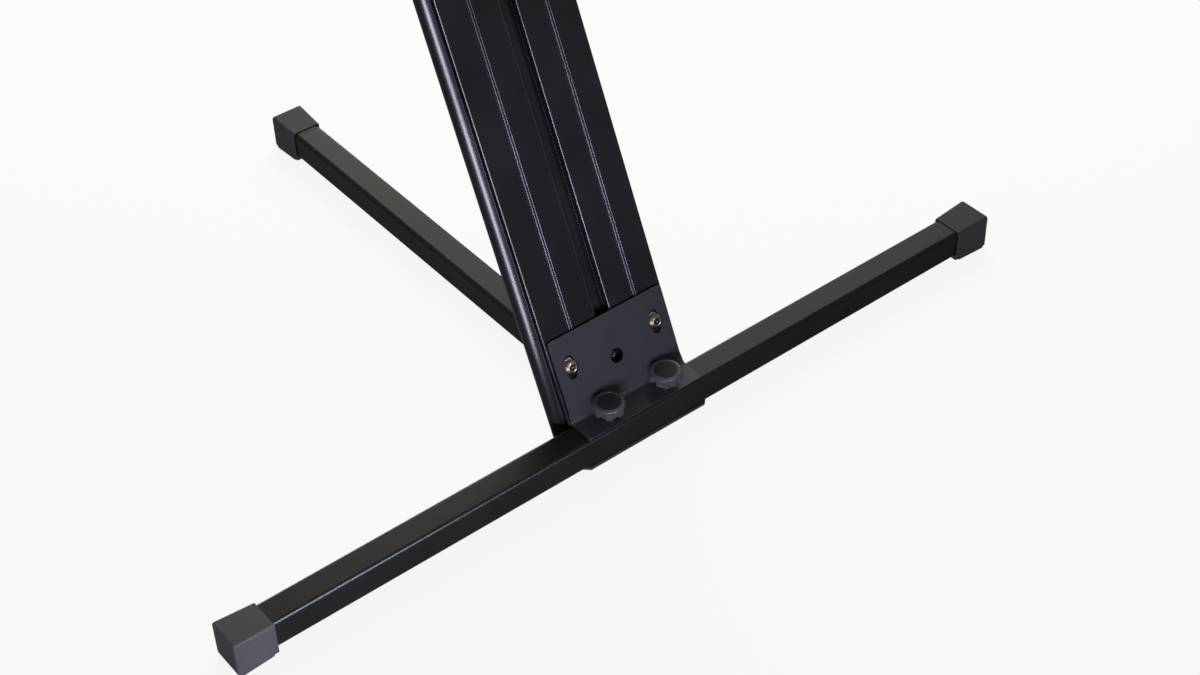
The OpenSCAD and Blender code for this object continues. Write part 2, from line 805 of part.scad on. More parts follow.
module crossbar_washer(side) {
    color(c_steel) on_base() translate([side * knob_pitch / 2, 0, flange_top])
        ring(washer_d, stud_d + 2 * bolt_play, washer_t);
}

module crossbar_knob(side) {
    color(c_plastic) on_base() translate([side * knob_pitch / 2, 0, flange_top + washer_t])
        hand_knob(knob_d, knob_h, washer_d - knob_neck_in, stud_d + 2 * run_fit, bore_share * knob_h);
}

module crossbar_stud(side) {
    high = flange_top + washer_t + bore_share * knob_h - end_gap;
    color(c_steel) on_base() translate([side * knob_pitch / 2, 0, stud_low])
        cylinder(d = stud_d, h = high - stud_low);
}

module crossbar_washer_left() { crossbar_washer(-1); }
module crossbar_washer_right() { crossbar_washer(1); }
module crossbar_knob_left() { crossbar_knob(-1); }
module crossbar_knob_right() { crossbar_knob(1); }
module crossbar_stud_left() { crossbar_stud(-1); }
module crossbar_stud_right() { crossbar_stud(1); }

// Carriage of tier i: front wall, cheeks round the lips and tongues behind them
module carriage(i) {
    out = hook_x + hook_t;
    corner = carriage_corner;
    tongue_back = tongue_y + tongue_t;
    color(c_plate) on_column(tier_t[i]) difference() {
        union() {
            translate([0, 0, -carriage_h / 2]) linear_extrude(carriage_h) {
                translate([-out, carriage_front + corner]) square([2 * out, carriage_t - corner]);
                translate([corner - out, carriage_front]) square([2 * (out - corner), carriage_t]);
                for (x = [-1, 1]) translate([x * (out - corner), carriage_front + corner]) circle(corner);
                for (x = [0, 1]) mirror([x, 0]) {
                    translate([hook_x, -glide_gap - eps]) square([hook_t, tongue_back + glide_gap + eps]);
                    translate([hook_x - tongue_w, tongue_y]) square([tongue_w + eps, tongue_t]);
                }
            }
            translate([0, carriage_front + eps, -clamp_drop]) rotate([90, 0, 0])
                cylinder(d = boss_d, h = boss_len);
        }
        translate([0, 0, -clamp_drop]) rotate([90, 0, 0])
            cylinder(d = clamp_stud_d + 2 * run_fit, h = carriage_t + boss_len + 4);
    }
}

// C-shaped nylon strips between the carriage of tier i and the column's lips
module glides(i) {
    strip_in = groove_pitch / 2 + groove_w + 4;
    strip_h = carriage_h - 8;
    tongue_in = hook_x - tongue_w + 0.5;
    back = tongue_y;
    color(c_nylon) on_column(tier_t[i] - strip_h / 2) linear_extrude(strip_h)
        for (x = [0, 1]) mirror([x, 0]) {
            translate([strip_in, -glide_gap]) square([hook_x - strip_in, glide_t]);
            translate([hook_x - glide_t, -glide_gap]) square([glide_t, back + glide_gap]);
            translate([tongue_in, back - glide_t]) square([hook_x - tongue_in, glide_t]);
        }
}

// Places a piece at the middle of the beam of tier i
module at_beam(i) {
    on_column(tier_t[i] + beam_rise) translate([0, beam_front + beam_w / 2, 0]) children();
}

module beam(i) {
    half = tier_span[i] + beam_over;
    color(c_tube) at_beam(i) translate([-half, 0, 0]) rotate([0, 90, 0])
        square_tube(beam_w, beam_wall, beam_corner, 2 * half);
}

module beam_plugs(i) {
    half = tier_span[i] + beam_over;
    color(c_plastic) at_beam(i) for (x = [0, 1]) mirror([x, 0, 0])
        translate([half, 0, 0]) rotate([0, 90, 0]) {
            linear_extrude(beam_plug_flange) rounded_square(beam_w, beam_corner);
            translate([0, 0, -beam_plug_h]) linear_extrude(beam_plug_h)
                rounded_square(beam_w - 2 * beam_wall - 2 * slip, beam_corner - beam_wall);
        }
}

// Places a piece level at the arm pivots of tier i
module at_arm_pivot(i) {
    t = tier_t[i] + beam_rise;
    on_base() translate([0, col_y(t, arm_pivot_y), col_z(t, arm_pivot_y)]) children();
}

// Two saddles of tier i: side plates from the beam's face to past the pivot, and a floor under the arm
module saddles(i) {
    half_beam = beam_w / 2;
    low = -arm_r - rest_gap - saddle_t;
    face_low = [arm_pivot_out * cos_l - half_beam * sin_l, -half_beam * cos_l - arm_pivot_out * sin_l];
    face_high = [arm_pivot_out * cos_l + half_beam * sin_l, half_beam * cos_l - arm_pivot_out * sin_l];
    color(c_plate) at_arm_pivot(i) for (x = [-1, 1]) translate([x * tier_span[i], 0, 0]) difference() {
        union() {
            for (side = [-1, 1]) translate([side * (saddle_x + saddle_t / 2), 0, 0]) along_x(saddle_t)
                polygon([face_low, face_high, [arm_bolt_d, saddle_top], [-arm_bolt_d, saddle_top],
                    [-saddle_len, 0], [-saddle_len, low], [-saddle_floor_back, low]]);
            translate([-saddle_x - eps, -saddle_len, low])
                cube([2 * saddle_x + 2 * eps, saddle_len - saddle_floor_back, saddle_t]);
        }
        translate([-arm_w, 0, 0]) rotate([0, 90, 0]) cylinder(d = arm_bolt_d + 2 * run_fit, h = 2 * arm_w);
    }
}

module arm_bolts(i) {
    shank = 2 * saddle_out + arm_nut_h + arm_bolt_over;
    color(c_steel) at_arm_pivot(i) for (x = [0, 1]) mirror([x, 0, 0]) translate([tier_span[i], 0, 0]) {
        translate([saddle_out, 0, 0]) rotate([0, 90, 0]) hex_bolt(arm_flats, arm_head_h, arm_bolt_d, shank);
        translate([-saddle_out - arm_nut_h, 0, 0]) rotate([0, 90, 0]) difference() {
            cylinder(d = arm_flats / cos(hex_half), h = arm_nut_h, $fn = hex_sides);
            translate([0, 0, -eps]) cylinder(d = arm_bolt_d + 2 * run_fit, h = arm_nut_h + 2 * eps);
        }
    }
}

module shoe(i) {
    color(c_nylon) on_column(tier_t[i] - clamp_drop)
        translate([-shoe_w / 2, channel_depth - slip - shoe_t, -shoe_h / 2]) cube([shoe_w, shoe_t, shoe_h]);
}

module clamp_knob(i) {
    color(c_plastic) on_column(tier_t[i] - clamp_drop) translate([0, clamp_knob_y, 0]) rotate([90, 0, 0])
        hand_knob(clamp_knob_d, clamp_knob_h, boss_d - knob_neck_in, clamp_stud_d + 2 * run_fit,
            bore_share * clamp_knob_h);
}

module clamp_stud(i) {
    color(c_steel) on_column(tier_t[i] - clamp_drop) translate([0, clamp_tip_y, 0]) rotate([90, 0, 0])
        cylinder(d = clamp_stud_d, h = clamp_tip_y - clamp_knob_y + bore_share * clamp_knob_h - end_gap);
}

module arm(i, side) {
    color(c_tube) at_arm_pivot(i) translate([side * tier_span[i], 0, 0]) difference() {
        translate([0, arm_back, 0]) rotate([90, 0, 0])
            square_tube(arm_w, arm_wall, arm_corner, arm_back + tier_arm[i]);
        translate([-arm_w, 0, 0]) rotate([0, 90, 0]) cylinder(d = arm_bolt_d + 2 * run_fit, h = 2 * arm_w);
    }
}

module pad(i, side) {
    len = tier_arm[i] - pad_start - pad_end_gap;
    edge = min(pad_edge, pad_t / 2);
    color(c_rubber) at_arm_pivot(i) translate([side * tier_span[i], -pad_start, arm_r]) rotate([90, 0, 0])
        linear_extrude(len) {
            translate([-pad_w / 2, 0]) square([pad_w, pad_t - edge]);
            translate([edge - pad_w / 2, 0]) square([pad_w - 2 * edge, pad_t]);
            for (x = [-1, 1]) translate([x * (pad_w / 2 - edge), pad_t - edge]) circle(edge);
        }
}

// Front cap of an arm with its raised lip, and the plug in the arm's rear end
module arm_cap(i, side) {
    rear_plug = arm_back - arm_bolt_d / 2 - 2 * end_gap;
    high = arm_r + arm_lip_h;
    height = high + arm_r + lip_over;
    inner = arm_w - 2 * arm_wall - 2 * slip;
    color(c_plastic) at_arm_pivot(i) translate([side * tier_span[i], 0, 0]) {
        translate([0, -tier_arm[i], 0]) rotate([90, 0, 0]) {
            translate([0, high - height / 2, 0]) linear_extrude(lip_thick)
                rounded_rect(arm_w + 2 * lip_over, height, lip_corner);
            translate([0, 0, -cap_plug]) linear_extrude(cap_plug)
                rounded_square(inner, arm_corner - arm_wall);
        }
        translate([0, arm_back, 0]) rotate([90, 0, 0]) {
            linear_extrude(rear_plug) rounded_square(inner, arm_corner - arm_wall);
            translate([0, 0, -rear_flange]) linear_extrude(rear_flange)
                rounded_square(arm_w - arm_corner, arm_corner);
        }
    }
}

module lower_carriage() { carriage(0); }
module lower_glides() { glides(0); }
module lower_beam() { beam(0); }
module lower_beam_plugs() { beam_plugs(0); }
module lower_saddles() { saddles(0); }
module lower_arm_bolts() { arm_bolts(0); }
module lower_shoe() { shoe(0); }
module lower_clamp_knob() { clamp_knob(0); }
module lower_clamp_stud() { clamp_stud(0); }
module lower_arm_left() { arm(0, -1); }
module lower_arm_right() { arm(0, 1); }
module lower_pad_left() { pad(0, -1); }
module lower_pad_right() { pad(0, 1); }
module lower_cap_left() { arm_cap(0, -1); }
module lower_cap_right() { arm_cap(0, 1); }
module upper_carriage() { carriage(1); }
module upper_glides() { glides(1); }
module upper_beam() { beam(1); }
module upper_beam_plugs() { beam_plugs(1); }
module upper_saddles() { saddles(1); }
module upper_arm_bolts() { arm_bolts(1); }
module upper_shoe() { shoe(1); }
module upper_clamp_knob() { clamp_knob(1); }
module upper_clamp_stud() { clamp_stud(1); }
module upper_arm_left() { arm(1, -1); }
module upper_arm_right() { arm(1, 1); }
module upper_pad_left() { pad(1, -1); }
module upper_pad_right() { pad(1, 1); }
module upper_cap_left() { arm_cap(1, -1); }
module upper_cap_right() { arm_cap(1, 1); }

crossbar_tube();
crossbar_foot_left();
crossbar_foot_right();
base_plate();
clinch_nuts();
crossbar_bracket();
bracket_side_screws();
bracket_slot_washers();
bracket_centre_screw();
column_extrusion();
column_foot();
column_foot_screws();
column_top_cap();
leg_hinge_left();
leg_hinge_right();
leg_hinge_screws();
leg_pivot_bolt();
rear_leg_tube();
rear_leg_foot();
rear_leg_plug();
leg_bushes();
leg_clamp_washer();
leg_clamp_knob();
leg_clamp_insert();
crossbar_washer_left();
crossbar_washer_right();
crossbar_knob_left();
crossbar_knob_right();
crossbar_stud_left();
crossbar_stud_right();
lower_carriage();
lower_glides();
lower_beam();
lower_beam_plugs();
lower_saddles();
lower_arm_bolts();
lower_shoe();
lower_clamp_knob();
lower_clamp_stud();
lower_arm_left();
lower_arm_right();
lower_pad_left();
lower_pad_right();
lower_cap_left();
lower_cap_right();
upper_carriage();
upper_glides();
upper_beam();
upper_beam_plugs();
upper_saddles();
upper_arm_bolts();
upper_shoe();
upper_clamp_knob();
upper_clamp_stud();
upper_arm_left();
upper_arm_right();
upper_pad_left();
upper_pad_right();
upper_cap_left();
upper_cap_right();
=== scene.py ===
"""Keyboard stand with a leaning extruded column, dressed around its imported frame.

The base is a square-tube crossbar and a folding rear leg on rubber feet. The column stands in a folded
bracket held by two hand knobs, and carries two tiers of folding arms on sliding carriages.
All lengths are in metres in the frame, and size fields are in millimetres where their name ends in _mm.
"""
from __future__ import annotations

import json
import logging
import math
from collections.abc import Sequence
from dataclasses import dataclass
from enum import Enum
from typing import Any

import bmesh
import bpy
from mathutils import Matrix, Quaternion, Vector

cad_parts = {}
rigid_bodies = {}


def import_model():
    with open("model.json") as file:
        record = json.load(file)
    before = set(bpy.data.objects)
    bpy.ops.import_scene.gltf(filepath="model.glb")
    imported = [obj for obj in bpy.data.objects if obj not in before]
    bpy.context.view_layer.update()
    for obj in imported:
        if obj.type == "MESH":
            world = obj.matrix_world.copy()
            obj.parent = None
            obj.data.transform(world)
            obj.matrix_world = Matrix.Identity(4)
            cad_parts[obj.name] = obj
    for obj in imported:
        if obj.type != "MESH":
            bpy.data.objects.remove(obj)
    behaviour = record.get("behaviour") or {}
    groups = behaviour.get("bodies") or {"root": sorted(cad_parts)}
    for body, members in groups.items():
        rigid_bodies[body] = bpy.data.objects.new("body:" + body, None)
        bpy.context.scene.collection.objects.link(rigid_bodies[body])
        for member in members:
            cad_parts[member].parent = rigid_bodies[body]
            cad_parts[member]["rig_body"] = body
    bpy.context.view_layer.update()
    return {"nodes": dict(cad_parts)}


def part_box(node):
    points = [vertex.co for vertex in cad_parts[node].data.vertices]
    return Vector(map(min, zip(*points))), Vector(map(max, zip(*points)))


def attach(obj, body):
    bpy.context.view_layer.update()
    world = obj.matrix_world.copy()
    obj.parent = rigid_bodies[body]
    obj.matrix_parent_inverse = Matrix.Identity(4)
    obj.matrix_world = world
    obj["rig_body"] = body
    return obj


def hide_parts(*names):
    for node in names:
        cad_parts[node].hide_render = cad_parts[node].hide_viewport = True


log = logging.getLogger("keyboard_stand")

FLOOR_NAME = "studio_floor"
COLUMN_NAME = "column_profile"
# How the names of the tiers' pieces begin
TIER_PREFIXES = ("lower_", "upper_")

MM = 0.001
LEAN_DEG = 23.75
LEAN = math.radians(LEAN_DEG)
# Lowest front point of the column's middle, which the leaning pieces are measured from
COLUMN_FOOT = Vector((0.0, -0.21405, 0.0387))
UP_COLUMN = Vector((0.0, math.sin(LEAN), math.cos(LEAN)))
OUT_OF_COLUMN = Vector((0.0, -math.cos(LEAN), math.sin(LEAN)))
RIGHTWARD = Vector((1.0, 0.0, 0.0))
UPWARD = Vector((0.0, 0.0, 1.0))
CROSSBAR_Y = -0.2301
TUBE_LOW = 0.0067
TUBE_HIGH = 0.0387
TUBE_CORNER_MM = 4.5
# Where the feet's mouths lie: out from the middle, and behind the crossbar's centre line
CROSSBAR_MOUTH = 0.4325
REAR_MOUTH = 0.6065
# Turn between two faces from which their edge is rounded, and from which it is shaded sharp
ROUNDED_TURN = math.radians(32)
SHARP_TURN = math.radians(50)
# Turn between two triangles up to which they are one face
FLAT_TURN = math.radians(0.5)
# Most that a screw is turned either way, in radians
SCREW_TURN = 0.5
# Distance below which points are one, in a lofted shape and in a node
LOFT_MERGE = 0.002 * MM
NODE_MERGE = 0.004 * MM
# The part of a noise texture's values that a finish's gloss spreads over, and its colour
GLOSS_SPAN = (0.3, 0.7)
TONE_SPAN = (0.35, 0.65)

Flat = tuple[float, float]
Point = tuple[float, float, float]
Tree = bpy.types.NodeTree
Socket = bpy.types.NodeSocket
Piece = bpy.types.Object
Work = bmesh.types.BMesh


def srgb(code: str) -> tuple[float, float, float, float]:
    """Turns an sRGB hex colour into Blender's linear colour.

    Args:
        code: Six hex digits, with or without a leading hash.

    Returns:
        Red, green, blue and alpha, linear.
    """
    digits = code.lstrip("#")
    parts = [int(digits[i:i + 2], 16) / 255 for i in (0, 2, 4)]
    linear = [p / 12.92 if p <= 0.04045 else ((p + 0.055) / 1.055) ** 2.4 for p in parts]
    return (linear[0], linear[1], linear[2], 1.0)


def add(tree: Tree, kind: str, inputs: dict[Any, Any] | None = None, **settings: Any) -> bpy.types.Node:
    """Adds a node with its settings and links.

    Args:
        tree: Shader or geometry tree that the node goes into.
        kind: Blender's name of the node type.
        inputs: For each input's name or number the value, the socket, or the node by its first output.
        settings: Attributes of the node itself.

    Returns:
        The new node.
    """
    node = tree.nodes.new(kind)
    for name, value in settings.items():
        setattr(node, name, value)
    for key, value in (inputs or {}).items():
        source = value.outputs[0] if isinstance(value, bpy.types.Node) else value
        if isinstance(source, Socket):
            tree.links.new(source, node.inputs[key])
        else:
            node.inputs[key].default_value = value
    return node


def per_metre(size_mm: float) -> float:
    """Gives the texture scale whose features are as large as the size."""
    return 1000.0 / size_mm


class Flow(Enum):
    """Direction that a finish's marks run in, as a turn of the pattern about X."""

    NONE = 0.0
    ALONG_COLUMN = -LEAN


@dataclass(frozen=True)
class Finish:
    """A surface, from what it is made of and how it was made.

    The colour drifts softly between two tones, the gloss varies a little, and a fine grain lifts the surface.
    """

    name: str
    colour: str
    drift: str
    roughness: float
    gloss_spread: float
    grain_mm: float
    relief_mm: float
    drift_mm: float = 60.0
    metallic: float = 0.0
    specular: float = 0.5
    edge: str = "ffffff"
    stretch: float = 1.0
    flow: Flow = Flow.NONE

    def place(self, tree: Tree) -> Socket:
        """Gives the pattern's coordinates, drawn out along the way that the surface was made.

        Args:
            tree: The material's tree.

        Returns:
            The vector socket that the textures read.
        """
        found = add(tree, "ShaderNodeTexCoord").outputs["Object"]
        if self.stretch == 1.0:
            return found
        turned = add(tree, "ShaderNodeMapping", {"Vector": found, "Rotation": (self.flow.value, 0.0, 0.0)})
        scale = (1.0, 1.0, 1.0 / self.stretch)
        return add(tree, "ShaderNodeMapping", {"Vector": turned, "Scale": scale}).outputs[0]

    def grain(self, tree: Tree, place: Socket) -> Socket:
        """Gives the fine height pattern, from 0 to 1."""
        inputs = {"Vector": place, "Scale": per_metre(self.grain_mm), "Detail": 3.0, "Roughness": 0.55}
        return add(tree, "ShaderNodeTexNoise", inputs).outputs[0]

    def tone(self, tree: Tree, place: Socket) -> Socket:
        """Gives the colour, drifting between the two tones over the drift's size.

        Args:
            tree: The material's tree.
            place: The pattern's coordinates.

        Returns:
            The colour socket.
        """
        inputs = {"Vector": place, "Scale": per_metre(self.drift_mm), "Detail": 2.0}
        cloud = add(tree, "ShaderNodeTexNoise", inputs)
        span = {"Value": cloud, "From Min": TONE_SPAN[0], "From Max": TONE_SPAN[1]}
        eased = add(tree, "ShaderNodeMapRange", span)
        mixed = {"Factor": eased, 6: srgb(self.colour), 7: srgb(self.drift)}
        return add(tree, "ShaderNodeMix", mixed, data_type="RGBA").outputs[2]

    def material(self) -> bpy.types.Material:
        """Builds the material once and gives it again afterwards.

        Returns:
            The material of this finish.
        """
        known = bpy.data.materials.get(self.name)
        if known is not None:
            return known
        made = bpy.data.materials.new(self.name)
        made.use_nodes = True
        tree = made.node_tree
        tree.nodes.clear()
        place = self.place(tree)
        grain = self.grain(tree, place)
        span = {"Value": grain, "From Min": GLOSS_SPAN[0], "From Max": GLOSS_SPAN[1],
                "To Min": self.roughness - self.gloss_spread, "To Max": self.roughness + self.gloss_spread}
        rough = add(tree, "ShaderNodeMapRange", span)
        lifted = {"Height": grain, "Strength": 1.0, "Distance": self.relief_mm * MM}
        shader = add(tree, "ShaderNodeBsdfPrincipled", {
            "Base Color": self.tone(tree, place), "Roughness": rough, "Metallic": self.metallic,
            "Specular IOR Level": self.specular, "Specular Tint": srgb(self.edge),
            "Normal": add(tree, "ShaderNodeBump", lifted)})
        add(tree, "ShaderNodeOutputMaterial", {"Surface": shader})
        return made


@dataclass(frozen=True)
class PassivatedZinc(Finish):
    """Zinc plate with a yellow passivation, whose film turns greenish and pinkish in patches."""

    film: str = "b7a07a"
    film_mm: float = 4.0

    def tone(self, tree: Tree, place: Socket) -> Socket:
        """Gives the gold colour with its drifting film.

        Args:
            tree: The material's tree.
            place: The pattern's coordinates.

        Returns:
            The colour socket.
        """
        base = super().tone(tree, place)
        inputs = {"Vector": place, "Scale": per_metre(self.film_mm), "Detail": 1.0}
        patch = add(tree, "ShaderNodeTexNoise", inputs)
        mixed = {"Factor": patch, 6: base, 7: srgb(self.film)}
        return add(tree, "ShaderNodeMix", mixed, data_type="RGBA").outputs[2]


# Powder coat on steel tube: satin black with an orange peel of about a millimetre
POWDER_COAT = Finish("powder_coated_steel", "171614", "1b1a18", 0.31, 0.03, 1.6, 0.004, specular=0.045)
# Powder coat on folded sheet, a little greyer and finer than on the tubes
FOLDED_SHEET = Finish("powder_coated_sheet", "2b2a2c", "302f31", 0.40, 0.03, 1.0, 0.005, specular=0.06)
# Cut edges of the folded sheet: a painted shade, near black, for the edge faces that face away from the lamps
SHADED_CUT_EDGE = Finish("thinly_coated_cut_edge", "0b0b0b", "0f0e0e", 0.50, 0.03, 1.0, 0.004, specular=0.03)
# Black anodised aluminium: the dye is dark, the oxide glossy, and faint die lines run along the extrusion
ANODISED = Finish("black_anodised_extrusion", "201e21", "252326", 0.25, 0.03, 0.9, 0.002, metallic=0.7,
                  specular=0.2, edge="8c8c90", stretch=60.0, flow=Flow.ALONG_COLUMN)
# Painted highlight: the lips of the grooves and of the channel get a lighter anodised colour, so they show as
# bright lines as if they caught light
PAINTED_LIP_HIGHLIGHT = Finish("rubbed_anodised_edges", "44424a", "4c4a52", 0.30, 0.03, 0.9, 0.002, metallic=0.7,
                  specular=0.3, stretch=60.0, flow=Flow.ALONG_COLUMN)
# The carriages are short pieces of the same kind of extrusion, sawn and anodised
ANODISED_CARRIAGE = Finish("black_anodised_carriage", "232125", "28262a", 0.28, 0.03, 0.8, 0.002,
                           metallic=0.7, specular=0.2, edge="8c8c90", stretch=40.0, flow=Flow.ALONG_COLUMN)
# Injection-moulded rubber: matt, a little dusty, with a spark-eroded grain
MOULDED_RUBBER = Finish("moulded_rubber", "393838", "3f3e3e", 0.60, 0.05, 0.7, 0.02, specular=0.05)
# Extruded rubber of the arm pads: the same, blacker
PAD_RUBBER = Finish("extruded_pad_rubber", "242424", "282829", 0.72, 0.05, 0.6, 0.03, specular=0.18)
# Moulded ABS of caps and plugs: satin with a fine grain
MOULDED_ABS = Finish("moulded_abs", "151517", "19191b", 0.34, 0.04, 0.5, 0.008, specular=0.2)
# Moulded nylon of the hand knobs: greyer and more matt than the ABS, so its lobes look soft
KNOB_NYLON = Finish("moulded_knob_nylon", "303032", "363638", 0.42, 0.04, 0.5, 0.008, specular=0.16)
# The disc let into a knob's top: the same nylon, eroded to a dead matt grain
KNOB_DISC = Finish("moulded_knob_disc", "1b1b1c", "1f1f20", 0.55, 0.03, 0.5, 0.010, specular=0.05)
# Glass-filled nylon of the column's foot: cast, black and dull
FOOT_CASTING = Finish("glass_filled_nylon", "121110", "161514", 0.60, 0.05, 0.8, 0.015, specular=0.02)
# Stainless steel, turned and tumbled: bright, warm and slightly scratched
STAINLESS = Finish("turned_stainless_steel", "403c37", "4d4842", 0.34, 0.08, 0.4, 0.003, drift_mm=5.0,
                   metallic=1.0)
# Steel with a black oxide: dark and half glossy
BLACK_OXIDE = Finish("black_oxide_steel", "201f20", "282728", 0.36, 0.06, 0.4, 0.004, drift_mm=5.0,
                     metallic=0.8, specular=0.2)
# Inside of a socket: a painted shade, the recess's steel coloured dark
SOCKET_SHADE = Finish("oiled_broached_steel", "161514", "1b1a19", 0.40, 0.05, 0.4, 0.003, drift_mm=5.0,
                     metallic=1.0)
# Yellow passivated zinc on the slot washers
YELLOW_ZINC = PassivatedZinc("yellow_passivated_zinc", "4c3e1e", "5c4a24", 0.30, 0.07, 0.5, 0.004,
                             drift_mm=6.0, metallic=1.0)
# Free-machining brass of the moulded-in thread
BRASS = Finish("turned_brass", "b08d4c", "c2a05a", 0.28, 0.06, 0.4, 0.004, drift_mm=6.0, metallic=1.0)
# Natural nylon: milky white, softly glossy
NYLON = Finish("moulded_nylon", "cfcbbf", "dad6ca", 0.42, 0.05, 0.8, 0.01, specular=0.45)

FINISHES: dict[str, Finish] = {
    "black_tube": POWDER_COAT, "black_plate": FOLDED_SHEET, "column_anodised": ANODISED,
    "carriage_anodised": ANODISED_CARRIAGE, "foot_rubber": MOULDED_RUBBER, "pad_rubber": PAD_RUBBER,
    "black_plastic": MOULDED_ABS, "steel": STAINLESS, "black_steel": BLACK_OXIDE, "yellow_zinc": YELLOW_ZINC,
    "brass": BRASS, "white_nylon": NYLON,
}


def coat(piece: Piece, *finishes: Finish) -> None:
    """Gives a piece its finishes, in the order of its faces' numbers."""
    for finish in finishes:
        piece.data.materials.append(finish.material())


def crease(work: Work, angle: float) -> None:
    """Shades every face smooth and keeps the edges sharp that turn by more than an angle.

    Args:
        work: The working mesh.
        angle: The angle in radians.
    """
    for face in work.faces:
        face.smooth = True
    for edge in work.edges:
        edge.smooth = len(edge.link_faces) == 2 and edge.calc_face_angle(0.0) < angle


def linked(name: str, data: bpy.types.ID) -> Piece:
    """Makes an object and links it to the scene.

    Args:
        name: Name of the object.
        data: Its mesh, lamp or camera.

    Returns:
        The object.
    """
    made = bpy.data.objects.new(name, data)
    bpy.context.scene.collection.objects.link(made)
    return made


def plain(made: Piece) -> Piece:
    """Replaces an object's mesh by its evaluated one and takes its modifiers off.

    Args:
        made: The object.

    Returns:
        The same object.
    """
    graph = bpy.context.evaluated_depsgraph_get()
    result = bpy.data.meshes.new_from_object(made.evaluated_get(graph), depsgraph=graph)
    made.modifiers.clear()
    made.data = result
    result.name = made.name
    return made


def as_object(work: Work, name: str) -> Piece:
    """Turns a working mesh into an object at the origin, shaded by the size of its faces.

    Args:
        work: The mesh, which is freed here.
        name: Name of the new object.

    Returns:
        The object, with a plain mesh and no modifier.
    """
    mesh = bpy.data.meshes.new(name)
    work.to_mesh(mesh)
    work.free()
    made = linked(name, mesh)
    weighted = made.modifiers.new("even_shading", "WEIGHTED_NORMAL")
    weighted.keep_sharp = True
    return plain(made)


def ring_loft(rings: Sequence[Sequence[Point]], name: str, sharp_deg: float,
              inlay: int | None = None) -> Piece:
    """Skins closed rings of equal length one after another, and closes both ends.

    Args:
        rings: The rings, each an equal number of points, in order.
        name: Name of the new object.
        sharp_deg: Turn in degrees from which an edge stays sharp.
        inlay: Ring from which the faces, and the last end, take the second finish.

    Returns:
        The closed object.
    """
    work = bmesh.new()
    rows = [[work.verts.new(point) for point in ring] for ring in rings]
    count = len(rows[0])
    last = len(rows) if inlay is None else inlay
    for step, (low, high) in enumerate(zip(rows, rows[1:])):
        for i in range(count):
            j = (i + 1) % count
            work.faces.new((low[i], low[j], high[j], high[i])).material_index = int(step >= last)
    work.faces.new(list(reversed(rows[0])))
    work.faces.new(rows[-1]).material_index = int(inlay is not None)
    bmesh.ops.remove_doubles(work, verts=work.verts, dist=LOFT_MERGE)
    bmesh.ops.recalc_face_normals(work, faces=work.faces)
    crease(work, math.radians(sharp_deg))
    return as_object(work, name)


def quarter(start_deg: float, end_deg: float, steps: int) -> list[Flat]:
    """Gives the cosine and sine of equal steps between two angles in degrees."""
    angles = [math.radians(start_deg + (end_deg - start_deg) * i / steps) for i in range(steps + 1)]
    return [(math.cos(a), math.sin(a)) for a in angles]


def corner_run(half: float, low: float, high: float, radius: float, steps: int) -> list[Flat]:
    """Gives a rectangle with round corners, as points across and up.

    Args:
        half: Half of its width.
        low: Its lowest height.
        high: Its highest height.
        radius: Radius of its corners.
        steps: Faces round each corner.

    Returns:
        The points, anticlockwise from the upper right corner's start.
    """
    across, up = half - radius, (high - low) / 2 - radius
    middle = (high + low) / 2
    run = []
    for sx, sy, start in ((1, 1, 0), (-1, 1, 90), (-1, -1, 180), (1, -1, 270)):
        for c, s in quarter(start, start + 90, steps):
            run.append((sx * across + radius * c, middle + sy * up + radius * s))
    return run


# Inset and height of the sole's rings in millimetres, from inside the body down to the floor
SOLE_PROFILE = ((0.0, 4.6), (0.0, 0.9), (0.25, 0.35), (0.9, 0.0))


